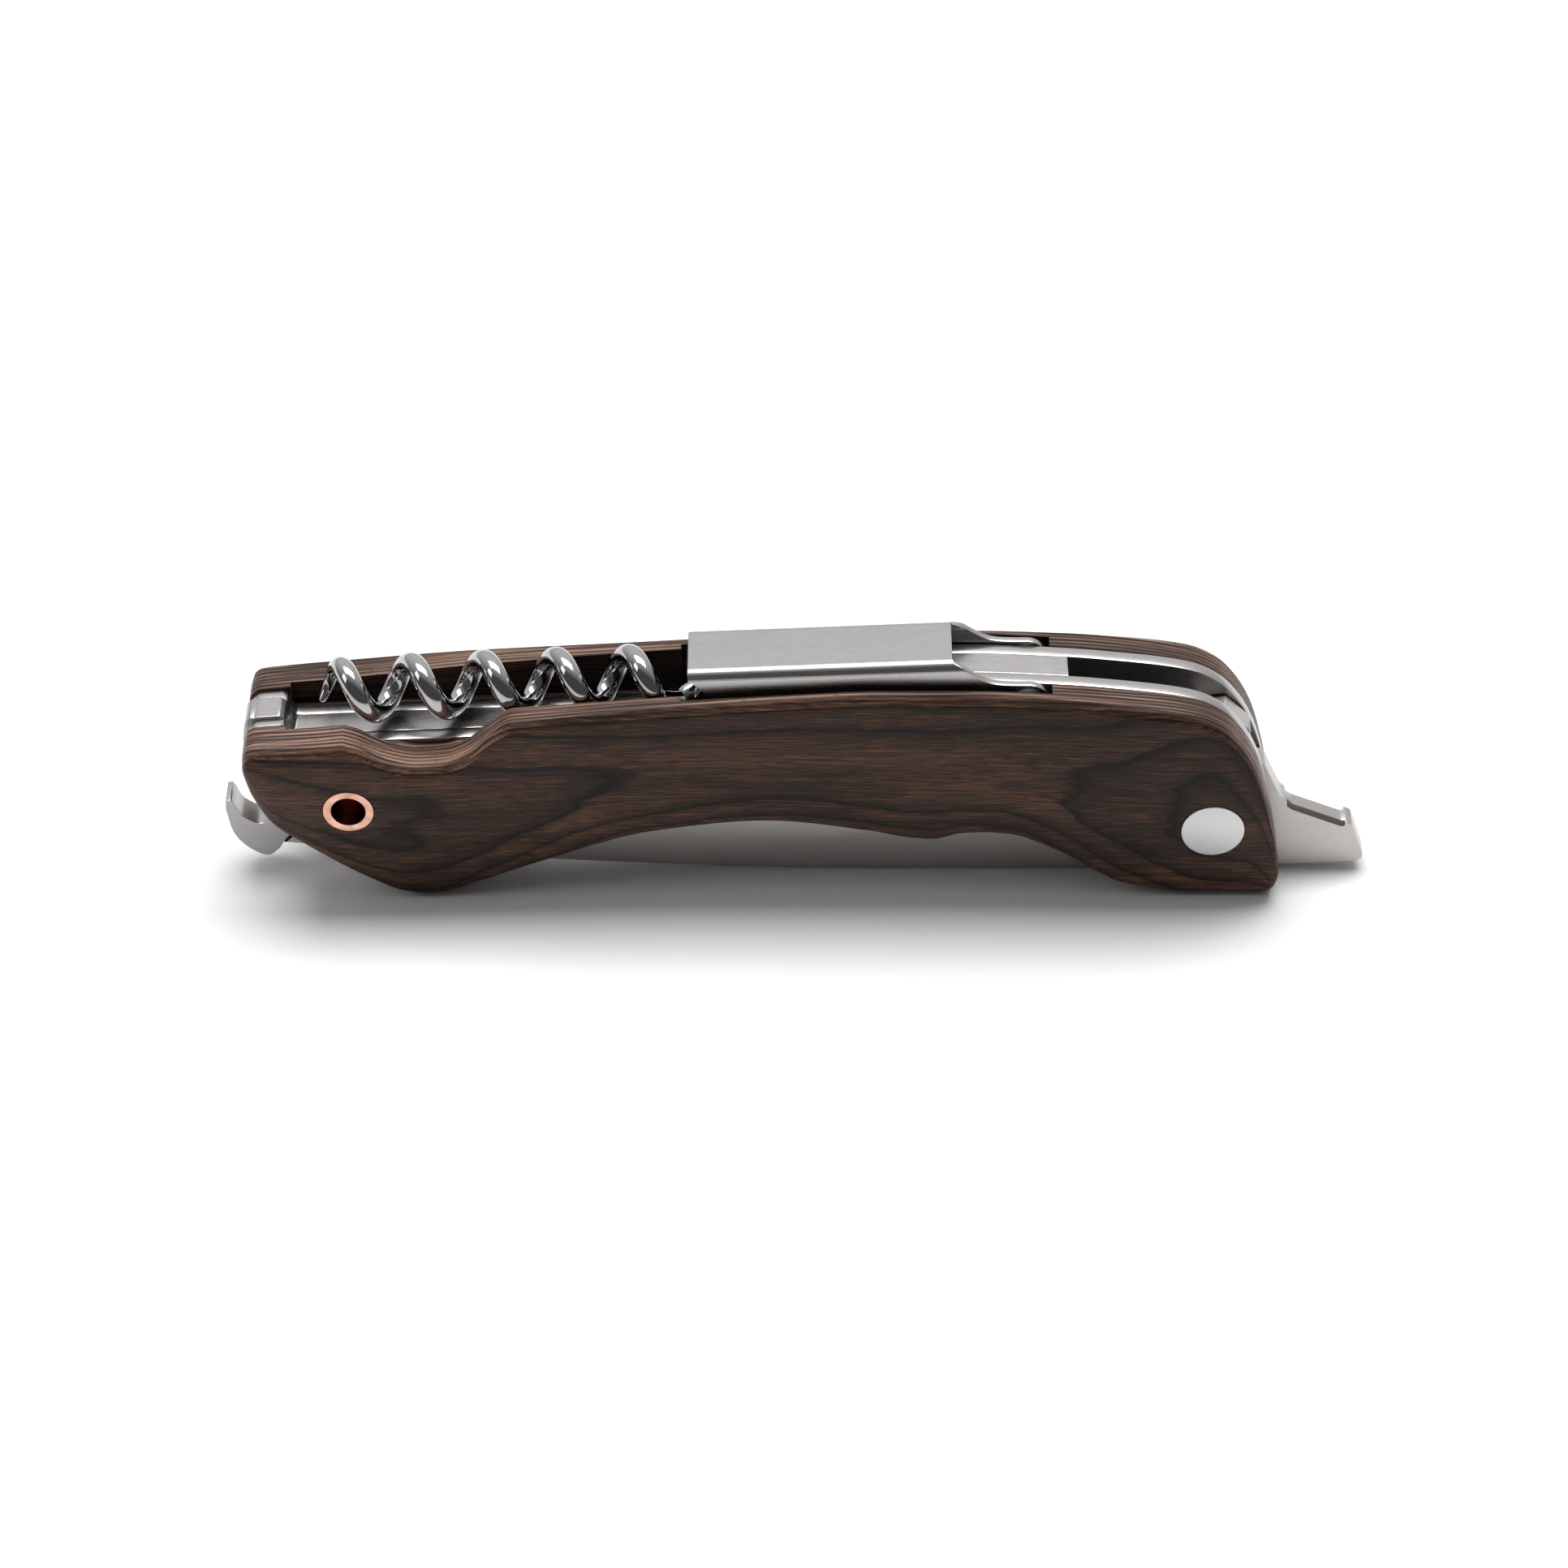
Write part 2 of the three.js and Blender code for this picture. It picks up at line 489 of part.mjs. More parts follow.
function wire(path, segments, sides) {
  const frames = path.computeFrenetFrames(segments, false);
  const length = path.getLength();
  const taper = TIP_TURNS * Math.hypot(2 * Math.PI * WORM_TURN_RADIUS, WORM_PITCH);
  const rings = Array.from({ length: segments + 1 }, (_, i) => {
    const middle = path.getPointAt(i / segments);
    const grown = Math.min(1, (length * i) / segments / taper) ** 0.8;
    const radius = i === 0 ? TIP_RADIUS * TIP_END : TIP_RADIUS + (WORM_WIRE - TIP_RADIUS) * grown;
    return Array.from({ length: sides }, (_, k) => {
      const angle = (2 * Math.PI * k) / sides;
      return middle.clone()
        .addScaledVector(frames.normals[i], radius * Math.cos(angle))
        .addScaledVector(frames.binormals[i], radius * Math.sin(angle))
        .toArray();
    });
  });
  return loft(rings);
}
const worm = wire(wirePath, WIRE_SEGMENTS, WIRE_SIDES)
  .add(rod(WORM_PIN, EYE_RADIUS, -EYE_HALF, EYE_HALF, FINE))
  .subtract(hole(WORM_PIN, WORM_PIN.r));
add('worm', worm, polished);
add('worm_pin', rod(WORM_PIN, WORM_PIN.r, -STACK, STACK), satin);

export default group;
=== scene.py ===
"""A folded waiter's corkscrew on a pale floor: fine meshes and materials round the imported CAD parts.

Lengths are written in millimetres, in the handle's own coordinates, and turned into the row
frame's metres by place(). X runs along the handle, Y through it and Z up.
"""
import math

import bmesh
import bpy
import numpy as np
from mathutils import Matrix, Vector


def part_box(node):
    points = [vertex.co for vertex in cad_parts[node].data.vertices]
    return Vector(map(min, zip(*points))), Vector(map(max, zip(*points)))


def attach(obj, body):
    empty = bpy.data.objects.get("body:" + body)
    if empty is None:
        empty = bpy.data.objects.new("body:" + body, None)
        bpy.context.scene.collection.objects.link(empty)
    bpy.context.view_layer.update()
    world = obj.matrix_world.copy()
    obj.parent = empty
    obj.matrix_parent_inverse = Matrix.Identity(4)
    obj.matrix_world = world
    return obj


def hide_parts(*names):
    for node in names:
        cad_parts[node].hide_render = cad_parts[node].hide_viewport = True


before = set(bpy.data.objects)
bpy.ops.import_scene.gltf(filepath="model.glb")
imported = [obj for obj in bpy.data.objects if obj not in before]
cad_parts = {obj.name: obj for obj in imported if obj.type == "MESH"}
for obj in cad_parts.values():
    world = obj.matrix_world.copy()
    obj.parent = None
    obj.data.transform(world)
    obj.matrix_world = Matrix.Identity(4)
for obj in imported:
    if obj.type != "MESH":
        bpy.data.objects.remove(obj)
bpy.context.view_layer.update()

MM = 0.001
FIGURE = "figure"                 # mesh attribute that counts the veneers down from the face

# ---- Sizes, in millimetres ----
WORM_AXIS = 28.9                  # height of the worm's axis at x = 0
WORM_SLOPE = 0.048                # rise of that axis along the handle
TRAY_DROP = 4.95                  # the tray lies this far below the worm's axis
NOTCH_LEFT = -53
NOTCH_RIGHT = -30
CURVE_STEP = 0.25                 # spacing of the points taken from a curve
OUTLINE_STEP = 0.22               # spacing of the points along a plate's outline
FIT = 0.06                        # gap round a piece that sits in a hole
THROUGH = 12                      # half the length of a cutter that passes right through the handle
PLATE_THROUGH = 3                 # and of one that passes through the middle plate or the worm's eye

SCALE_STATIONS = 420
FACE_STEPS = 12
CHAMFER = 1.0                     # flat chamfer along the wooden edges
CHAMFER_SOFT = 0.14               # rounding of the chamfer's own edges
INNER_EDGE = 0.12                 # broken inner edge of the wood beside the liner
POCKET_LEFT = -58.8
POCKET_STEP = -13.2
POCKET_RIGHT = 29.5
POCKET_OVERLAP = 0.5
POCKET_TOP = 40                   # clear above the handle
WORM_POCKET = 4.3                 # half the width of the pocket round the worm
WORM_POCKET_DROP = 5.15           # and its floor's distance below the worm's axis
LEVER_POCKET = 5.2                # half the width of the pocket round the lever
LEVER_POCKET_DROP = 5.85
VENEER = 0.6                      # thickness of one layer of the laminated wood
BELLY_VENEERS = 2.7               # veneers that the face's rounding cuts through below
BELLY_SHARE = 0.42                # the share of the height where it does so
BELLY_POWER = 1.7                 # higher crowds the contour lines towards the edge
TOP_VENEERS = 1.9
TOP_SHARE = 0.4
TOP_POWER = 1.5

BOLSTER_RIGHT = -59.6
EAR_LEFT = -11.7
PLATE_RIGHT = 31.5
STEEL_EDGE = 0.1                  # softened rim of the stamped steel
LINER_INSET = 0.4                 # liners stay this far above the wooden belly
LINER_DROP = 0.35                 # the middle plate stands this far proud of them at the end block
TAIL_SWEEP = 21.6                 # room for the tail round the blade's pivot
SWEEP_SIDES = 192
ROUND_SIDES = 64
EYE_GAP = 0.6                     # room round the worm's eye

TURNED_EDGE = 0.12                # corners of turned pieces are cut back this much
DISC_EDGE = 0.16
TUBE_OUTER = 2.95
TUBE_BORE = 2.0
DISC_RADIUS = 3.7
DISC_THICK = 1.05
BOSS_RADIUS = 2.9
SHANK_RADIUS = 2.0
SHANK_END = 5.8                   # the rivet's shank ends at this Y,
CAP_BORE_END = 6.2                # and the blind bore of its cap at this one
BUSH_RADIUS = 3.0
BLADE_WASHER = 5
LEVER_PIN_RADIUS = 1.2
PIN_HEAD_RADIUS = 1.7
PIN_HEAD_FACE = 5.05
LEVER_WASHER = 1.9                # stays below the liners' top
WORM_PIN_RADIUS = 1.1
STOP_PIN_RADIUS = 1.0
LINER_RIVET_RADIUS = 1.25

BLADE_EDGE = 0.1                  # softened rim of the blade
TAIL_CHAMFER = 0.6
GRIND_BOTTOM = 9.6                # the bevel starts at this height,
GRIND_TOP = 13.9                  # and reaches the cutting edge at this one
EDGE_HALF = 0.15                  # half the thickness of that edge
GRIND_CLEAR = 16                  # clear above the blade
GRIND_OUTER = 3                   # and clear of its sides
GRIND_ENDS = (-62, 31)
BLADE_THROUGH = 2                 # half the length of a cutter that passes through the blade

LEVER_SHEET = 0.85
LEVER_BEND = 1.3
LEVER_LEFT = -12.3
WEB_END = 18
WEB_ABOVE_AXIS = 3.74
LEVER_HEIGHT = 8.2
LEVER_ENDS = (-20, 40)            # the uncut channel
LEVER_DEPTH = 14
LEVER_CLEAR = 36                  # clear above the lever
ARM_GAP_BOTTOM = 31.4
ARM_GAP_RIGHT = 24
ARM_GAP_HALF = 3.4
LEVER_THROUGH = 6                 # half the length of a cutter that passes through the lever
ARM_RADIUS = 2.5
ARM_STEPS = 24
BEND_STEPS = 12
SHEET_EDGE = 0.11                 # rounding of the sheet's cut edges

WORM_PITCH = 8.4
WORM_TURN_RADIUS = 2.75
WORM_WIRE = 1.3
WIRE_SIDES = 24
FIRST_CREST = -51.9
WORM_TURNS = 4.3
TIP_ANGLE = -0.88 * math.pi       # where the wire starts, before the first crest
TIP_TURNS = 0.44                  # turns over which the wire tapers to its tip
TIP_PITCH = 0.85                  # the tip's turn is closer than the others
TIP_RADIUS = 0.36
HELIX_STEPS = 14
EYE_RADIUS = 3.1
EYE_HALF = 1.5
EYE_EDGE = 0.4

# ---- Floor and camera, in metres ----
FLOOR_HALF = 3.0
CAMERA_ELEVATION = math.radians(40.5)
CAMERA_DISTANCE = 0.551
CAMERA_TARGET = Vector((-0.0015, 0, 0.012))
SENSOR_MM = 36
LENS_MM = 107.5
LIGHT_TARGET = (0, 0, 0.01)

# ---- Places taken from the frame ----
PIVOT = (48.7, 11.5)              # the blade's pivot in the handle's coordinates


def node_box(name):
    low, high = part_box(name)
    return low / MM, high / MM


pivot_low, pivot_high = node_box("blade_rivet")
SHIFT = (pivot_low.x + pivot_high.x) / 2 - PIVOT[0]


def node_middle(name):
    low, high = node_box(name)
    return (low.x + high.x) / 2 - SHIFT, (low.z + high.z) / 2


TUBE = node_middle("lanyard_tube")
LEVER_PIN = node_middle("lever_pin")
WORM_PIN = node_middle("worm_pin")
STOP_PIN = node_middle("blade_stop_pin")
LINER_RIVETS = {name: node_middle(name) for name in
                ("left_liner_rivet", "middle_liner_rivet", "right_liner_rivet")}
PLATE_HALF = node_box("middle_plate")[1].y
STACK = node_box("back_liner")[1].y
BLADE_HALF = node_box("blade")[1].y
LEVER_HALF = node_box("lever")[1].y
TUBE_FACE = node_box("lanyard_tube")[1].y
DISC_FACE = node_box("blade_rivet_cap")[1].y
HANDLE_LEFT = node_box("back_scale")[0].x - SHIFT
HANDLE_RIGHT = node_box("back_scale")[1].x - SHIFT
TRAY_RIGHT = WORM_PIN[0] + EYE_RADIUS + EYE_GAP


# ---- Curves ----
def smooth_line(points):
    """A smooth line through a few points that never swings past them."""
    xs, zs = (np.array(column, float) for column in zip(*points))
    rise = np.diff(zs) / np.diff(xs)
    product = rise[:-1] * rise[1:]
    total = np.where(product > 0, rise[:-1] + rise[1:], 1)
    inner = np.where(product > 0, 2 * product / total, 0)
    slopes = np.concatenate([rise[:1], inner, rise[-1:]])

    def line(x):
        i = np.clip(np.searchsorted(xs, x) - 1, 0, len(xs) - 2)
        width = xs[i + 1] - xs[i]
        t = np.clip((x - xs[i]) / width, 0, 1)
        u = 1 - t
        start = zs[i] * (1 + 2 * t) * u * u + slopes[i] * width * t * u * u
        return start + zs[i + 1] * (1 + 2 * u) * t * t - slopes[i + 1] * width * u * t * t

    return line


handle_top = smooth_line([
    (HANDLE_LEFT, 22), (-63.2, 23.1), (-62.3, 23.6), (-60, 23.85), (-55, 24.3), (-38, 26.5),
    (-18, 28.5), (0, 29.9), (10, 30.4), (20, 30.4), (31, 29.9), (38, 29.2), (43, 28.5), (46.3, 27.7),
    (49.3, 26), (51.6, 23.4), (53.6, 19.6), (55, 15), (56.2, 9.5), (HANDLE_RIGHT, 4.6),
])
handle_bottom = smooth_line([
    (HANDLE_LEFT, 19), (-62.8, 15.6), (-60.8, 11.4), (-57.6, 8.4), (-49.1, 2), (-46, 0.35),
    (-43.8, 0), (-42.6, 0), (-40.8, 0.2), (-38.3, 1.2), (-29.1, 5), (-16.7, 9.3), (-3.3, 10.9),
    (9, 9.3), (13.5, 8.3), (16.3, 8.1), (19.5, 9), (22.4, 9.15), (25.1, 8.9), (30.8, 6.4), (36.4, 2.6),
    (38.6, 1.4), (46.5, 0), (55.4, 0), (56.5, 0.7), (HANDLE_RIGHT, 2.2),
])
thumb_notch = smooth_line([
    (NOTCH_LEFT, 25), (-50.5, 24.1), (-46.8, 22), (-43.5, 21.2), (-40.5, 21.4), (-37.8, 22.6),
    (-35.2, 25.2), (-32.8, 27), (NOTCH_RIGHT, 27.9),
])
edge_half_top = smooth_line([
    (-64, 8.3), (-55, 8.7), (-40, 8.2), (-18, 7.2), (0, 6.9), (20, 6.9), (35, 7.2), (48, 7.5), (57, 7.1),
])
edge_half_bottom = smooth_line([(-64, 7.2), (-55, 7), (-40, 6.5), (0, 6.3), (35, 6.4), (57, 6.3)])
middle_half = smooth_line([
    (-64, 8.5), (-55, 8.8), (-40, 8.3), (-18, 7.2), (0, 6.85), (20, 7), (35, 7.5), (48, 7.8), (57, 7.3),
])


def worm_axis(x):
    return WORM_AXIS + WORM_SLOPE * x


def tray_floor(x):
    return worm_axis(x) - TRAY_DROP


def front_top(x):
    inside = (x > NOTCH_LEFT) & (x < NOTCH_RIGHT)
    return np.where(inside, np.minimum(handle_top(x), thumb_notch(x)), handle_top(x))


figure_ridge = smooth_line([
    (-64, 2.4), (-56, 2.3), (-45, 2.0), (-26, 1.0), (-9, 0.62), (14, 0.6), (31, 1.0), (38, 1.35),
    (44, 2.0), (48.7, 2.4), (57, 2.1),
])


def face_figure(x, z):
    """How many veneers lie cut open at a place of the carved face: its contour lines."""
    low = handle_bottom(x)
    t = np.clip((z - low) / (handle_top(x) - low), 0, 1)
    under = BELLY_VENEERS * np.clip((BELLY_SHARE - t) / BELLY_SHARE, 0, 1) ** BELLY_POWER
    over = TOP_VENEERS * np.clip((t - (1 - TOP_SHARE)) / TOP_SHARE, 0, 1) ** TOP_POWER
    return figure_ridge(x) - under - over


def half_thickness(x, z):
    """Half the handle's thickness: thickest across the middle of its height."""
    low = handle_bottom(x)
    t = np.clip((z - low) / (handle_top(x) - low), 0, 1)
    edges = edge_half_bottom(x) * (1 - t) + edge_half_top(x) * t
    swell = middle_half(x) - (edge_half_bottom(x) + edge_half_top(x)) / 2
    return edges + swell * 4 * t * (1 - t)


def spline(points, steps):
    """Catmull-Rom curve through points of [x, z], with a number of steps in each span."""
    p = np.array([points[0], *points, points[-1]], float)
    t = np.linspace(0, 1, steps, endpoint=False)[:, None]
    spans = []
    for a, b, c, d in zip(p, p[1:], p[2:], p[3:]):
        spans.append(0.5 * (2 * b + (c - a) * t + (2 * a - 5 * b + 4 * c - d) * t ** 2
                            + (3 * b - a - 3 * c + d) * t ** 3))
    return np.vstack([*spans, p[-1:]])


def resample(loop, step):
    """A closed loop with its points about one step apart."""
    closed = np.vstack([loop, loop[:1]])
    lengths = np.concatenate([[0], np.cumsum(np.linalg.norm(np.diff(closed, axis=0), axis=1))])
    count = max(8, round(lengths[-1] / step))
    places = np.linspace(0, lengths[-1], count, endpoint=False)
    return np.column_stack([np.interp(places, lengths, closed[:, k]) for k in (0, 1)])


def circle(x, z, radius, sides):
    angles = np.arange(sides) * 2 * math.pi / sides
    return np.column_stack([x + radius * np.cos(angles), z + radius * np.sin(angles)])


# ---- Mesh building ----
def place(points):
    """Points of the handle's coordinates in millimetres, in the row frame's metres."""
    points = np.array(points, float)
    return (points + np.array([SHIFT, 0, 0])) * MM


def solid(name, verts, faces):
    mesh = bpy.data.meshes.new(name)
    mesh.from_pydata([tuple(v) for v in place(verts)], [], [tuple(int(i) for i in f) for f in faces])
    made = bmesh.new()
    made.from_mesh(mesh)
    bmesh.ops.remove_doubles(made, verts=made.verts, dist=1e-7)
    bmesh.ops.recalc_face_normals(made, faces=made.faces)
    made.to_mesh(mesh)
    made.free()
    made_piece = bpy.data.objects.new(name, mesh)
    bpy.context.scene.collection.objects.link(made_piece)
    return made_piece


def apply_modifiers(made_piece):
    graph = bpy.context.evaluated_depsgraph_get()
    mesh = bpy.data.meshes.new_from_object(made_piece.evaluated_get(graph))
    old = made_piece.data
    made_piece.modifiers.clear()
    made_piece.data = mesh
    bpy.data.meshes.remove(old)


def combine(made_piece, tool, operation):
    """Cuts a piece with a tool, joins the tool to it, or keeps what they share."""
    modifier = made_piece.modifiers.new("combine", "BOOLEAN")
    modifier.operation = operation
    modifier.solver = "EXACT"
    modifier.object = tool
    apply_modifiers(made_piece)
    bpy.data.objects.remove(tool)


def turned(profile, x, z, steps=96):
    """A closed profile of [radius, y] points turned about a line along Y."""
    profile = np.array(profile, float)
    count = len(profile)
    verts, faces = [], []
    for step in range(steps):
        angle = 2 * math.pi * step / steps
        verts += [(x + r * math.cos(angle), y, z + r * math.sin(angle)) for r, y in profile]
    for step in range(steps):
        here, there = step * count, (step + 1) % steps * count
        for i in range(count):
            j = (i + 1) % count
            if profile[i][0] > 0 or profile[j][0] > 0:
                faces.append((here + i, here + j, there + j, there + i))
    return verts, faces


def swept(path, radii, sides):
    """A round wire along a path, closed at both ends."""
    path = np.array(path, float)
    tangents = np.gradient(path, axis=0)
    tangents /= np.linalg.norm(tangents, axis=1, keepdims=True)
    normal = np.cross(tangents[0], (1, 0, 0))
    verts, faces = [], []
    for middle, tangent, radius in zip(path, tangents, radii):
        normal = normal - tangent * (normal @ tangent)
        normal /= np.linalg.norm(normal)
        other = np.cross(tangent, normal)
        for side in range(sides):
            angle = 2 * math.pi * side / sides
            verts.append(middle + radius * (normal * math.cos(angle) + other * math.sin(angle)))
    for row in range(len(path) - 1):
        for side in range(sides):
            a = row * sides + side
            b = row * sides + (side + 1) % sides
            faces.append((a, b, b + sides, a + sides))
    last = (len(path) - 1) * sides
    faces.append(tuple(range(sides)))
    faces.append(tuple(last + side for side in reversed(range(sides))))
    return verts, faces


def lofted(rings):
    """A closed skin over a row of rings with the same number of points each."""
    count = len(rings[0])
    verts = [point for ring in rings for point in ring]
    faces = []
    for row in range(len(rings) - 1):
        for i in range(count):
            a = row * count + i
            b = row * count + (i + 1) % count
            faces.append((a, b, b + count, a + count))
    last = (len(rings) - 1) * count
    faces.append(tuple(range(count)))
    faces.append(tuple(range(last + count - 1, last - 1, -1)))
    return verts, faces


def prism(loop, low, high):
    """A sharp-edged plate between two heights of y."""
    return lofted([[(x, y, z) for x, z in loop] for y in (low, high)])


def rod(x, z, radius, low, high, sides=ROUND_SIDES):
    return solid("cutter", *prism(circle(x, z, radius, sides), low, high))


def soften_edges(made, width):
    """Rounds the sharp edges of a cut piece."""
    bevel = made.modifiers.new("round", "BEVEL")
    bevel.width = width * MM
    bevel.segments = 2
    bevel.limit_method = "ANGLE"
    bevel.angle_limit = math.radians(40)
    bevel.use_clamp_overlap = False
    apply_modifiers(made)


# ---- Materials ----

class Look:
    """A material's node tree, with short calls for the nodes that the finishes here use."""

    def __init__(self, name):
        self.material = bpy.data.materials.new(name)
        self.material.use_nodes = True
        self.tree = self.material.node_tree
        self.shader = self.tree.nodes["Principled BSDF"]
        coordinates = self.tree.nodes.new("ShaderNodeTexCoord")
        self.facing = coordinates.outputs["Normal"]
        self.place = self.scaled(coordinates.outputs["Object"], (1 / MM, 1 / MM, 1 / MM))

    def put(self, value, socket):
        if isinstance(value, bpy.types.NodeSocket):
            self.tree.links.new(value, socket)
        else:
            socket.default_value = value

    def scaled(self, vector, factors):
        made = self.tree.nodes.new("ShaderNodeVectorMath")
        made.operation = "MULTIPLY"
        self.put(vector, made.inputs[0])
        made.inputs[1].default_value = factors
        return made.outputs["Vector"]

    def split(self, vector):
        made = self.tree.nodes.new("ShaderNodeSeparateXYZ")
        self.put(vector, made.inputs[0])
        return made.outputs["X"], made.outputs["Y"], made.outputs["Z"]

    def math(self, operation, *values):
        made = self.tree.nodes.new("ShaderNodeMath")
        made.operation = operation
        for value, socket in zip(values, made.inputs):
            self.put(value, socket)
        return made.outputs[0]

    def noise(self, per_mm, detail, rough):
        """Noise between 0 and 1, with its number of waves per millimetre along each axis."""
        made = self.tree.nodes.new("ShaderNodeTexNoise")
        self.put(self.scaled(self.place, per_mm), made.inputs["Vector"])
        made.inputs["Scale"].default_value = 1
        made.inputs["Detail"].default_value = detail
        made.inputs["Roughness"].default_value = rough
        return made.outputs["Fac"]

    def step(self, value, low, high, start=0.0, end=1.0):
        """Goes smoothly from start to end while the value goes from low to high."""
        made = self.tree.nodes.new("ShaderNodeMapRange")
        made.interpolation_type = "SMOOTHSTEP"
        for socket, number in zip(made.inputs, (value, low, high, start, end)):
            self.put(number, socket)
        return made.outputs["Result"]

    def colours(self, value, *stops):
        made = self.tree.nodes.new("ShaderNodeValToRGB")
        ramp = made.color_ramp
        while len(ramp.elements) < len(stops):
            ramp.elements.new(0.5)
        for element, (position, colour) in zip(ramp.elements, stops):
            element.position = position
            element.color = (*colour, 1)
        self.put(value, made.inputs["Fac"])
        return made.outputs["Color"]

    def shades(self, value, *stops):
        """A grey for each value, between stops of (value, grey)."""
        return self.colours(value, *((position, (grey, grey, grey)) for position, grey in stops))

    def mix(self, factor, first, second):
        made = self.tree.nodes.new("ShaderNodeMix")
        made.data_type = "RGBA"
        self.put(factor, made.inputs["Factor"])
        for value, socket in ((first, made.inputs[6]), (second, made.inputs[7])):
            self.put((*value, 1) if isinstance(value, tuple) else value, socket)
        return made.outputs[2]

    def bump(self, height, strength, depth_mm):
        made = self.tree.nodes.new("ShaderNodeBump")
        made.inputs["Strength"].default_value = strength
        made.inputs["Distance"].default_value = depth_mm * MM
        self.put(height, made.inputs["Height"])
        self.put(made.outputs["Normal"], self.shader.inputs["Normal"])

    def set(self, **values):
        for name, value in values.items():
            self.put(value, self.shader.inputs[name.replace("_", " ")])
        return self.material


def laminated_wood():
    """Thin dark and brown veneers laid flat along Y, so the carved faces cut them into contour lines."""
    look = Look("laminated_wood")
    depth = look.tree.nodes.new("ShaderNodeAttribute")
    depth.attribute_name = FIGURE
    sway = look.math("MULTIPLY", look.math("SUBTRACT", look.noise((0.05, 0.1, 0.15), 2, 0.45), 0.5), 0.9)
    ripple = look.math("MULTIPLY", look.noise((0.3, 0.6, 1.6), 3, 0.5), 0.16)
    level = look.math("ADD", depth.outputs["Fac"], look.math("ADD", sway, ripple))
    within = look.math("FRACT", level)
    ply = look.shades(
        within, (0.0, 0.0), (0.035, 0.08), (0.1, 0.46), (0.3, 0.64), (0.7, 0.78), (0.93, 0.66),
        (0.985, 0.14), (1.0, 0.0),
    )
    band = look.shades(within, (0.0, 0.1), (0.34, 0.06), (0.46, 0.82), (0.86, 0.95), (0.97, 0.14))
    sheet = look.tree.nodes.new("ShaderNodeTexWhiteNoise")
    sheet.noise_dimensions = "1D"
    look.put(look.math("FLOOR", level), sheet.inputs["W"])

    fibre = look.step(look.noise((0.14, 2.0, 5.5), 5, 0.62), 0.36, 0.64)
    hair = look.step(look.noise((0.4, 6.0, 12.0), 2, 0.5), 0.34, 0.66)
    flame = look.step(look.noise((0.03, 0.08, 0.16), 3, 0.5), 0.35, 0.65)
    streak = look.step(look.noise((0.025, 3.4, 0.12), 4, 0.66), 0.3, 0.7)
    fine_streak = look.step(look.noise((0.1, 9.0, 0.35), 3, 0.6), 0.34, 0.66)
    tone = look.math("MULTIPLY", ply, 0.46)
    for part, share in ((fibre, 0.22), (hair, 0.17), (flame, 0.12), (sheet.outputs["Value"], 0.08)):
        tone = look.math("ADD", tone, look.math("MULTIPLY", part, share))
    face = look.colours(
        tone, (0.22, (0.0060, 0.0040, 0.0034)), (0.44, (0.0180, 0.0096, 0.0066)),
        (0.61, (0.039, 0.0212, 0.0145)), (0.86, (0.15, 0.07, 0.039)),
    )
    striped = look.math("MULTIPLY", band, 0.25)
    for part, share in ((streak, 0.43), (fine_streak, 0.20), (flame, 0.12)):
        striped = look.math("ADD", striped, look.math("MULTIPLY", part, share))
    # Edge tones, on wood that doesn't face along Y: the stripes are the cut veneers' own, while the ramp's
    # brightness above the face's is painted light from above on the top edges.
    edge = look.colours(
        striped, (0.20, (0.0100, 0.0065, 0.0055)), (0.43, (0.0440, 0.0255, 0.0195)),
        (0.60, (0.1300, 0.0760, 0.0560)), (0.82, (0.3100, 0.1910, 0.1390)),
    )
    facing = look.math("ABSOLUTE", look.split(look.facing)[1])
    colour = look.mix(look.step(facing, 0.35, 0.8), edge, face)
    pores = look.step(look.noise((0.35, 3.0, 7.0), 2, 0.5), 0.64, 0.72)
    colour = look.mix(look.math("MULTIPLY", pores, 0.6), colour, (0.006, 0.0042, 0.0038))
    # Painted shade: wood that faces along Y within the lever pocket's width, the pocket walls and the
    # inner faces against the liners, is mixed half-way towards near-black.
    aside = look.math("ABSOLUTE", look.split(look.place)[1])
    painted_pocket_shade = look.math("MULTIPLY", look.step(aside, LEVER_POCKET + 0.05, LEVER_POCKET + 0.1, 1.0, 0.0),
                    look.step(facing, 0.5, 0.9))
    colour = look.mix(look.math("MULTIPLY", painted_pocket_shade, 0.5), colour, (0.004, 0.003, 0.0028))
    look.bump(look.math("SUBTRACT", look.math("MULTIPLY", fibre, 0.5), pores), 0.35, 0.04)
    return look.set(
        Base_Color=colour, Roughness=look.step(fibre, 0.0, 1.0, 0.38, 0.54), Specular_IOR_Level=0.16,
    )


def steel(name, tint, roughness, grain, spread, scratch):
    """Bare steel whose grinding marks run along the grain's slowest axis."""
    look = Look(name)
    brushed = look.noise(grain, 4, 0.7)
    cloud = look.noise((0.09, 0.09, 0.09), 3, 0.55)
    marks = look.step(look.noise(tuple(2.7 * g for g in grain), 2, 0.5), 0.66, 0.74)
    darker = tuple(0.9 * c for c in tint)
    colour = look.colours(
        look.math("ADD", look.math("MULTIPLY", brushed, 0.55), look.math("MULTIPLY", cloud, 0.45)),
        (0.3, darker), (0.62, tint),
    )
    rough = look.math("ADD", look.step(brushed, 0.25, 0.75, roughness - spread, roughness + spread),
                      look.math("MULTIPLY", look.math("SUBTRACT", cloud, 0.5), spread))
    look.bump(look.math("ADD", brushed, look.math("MULTIPLY", marks, 0.4)), scratch, 0.004)
    return look.set(Base_Color=colour, Roughness=rough, Metallic=1.0)


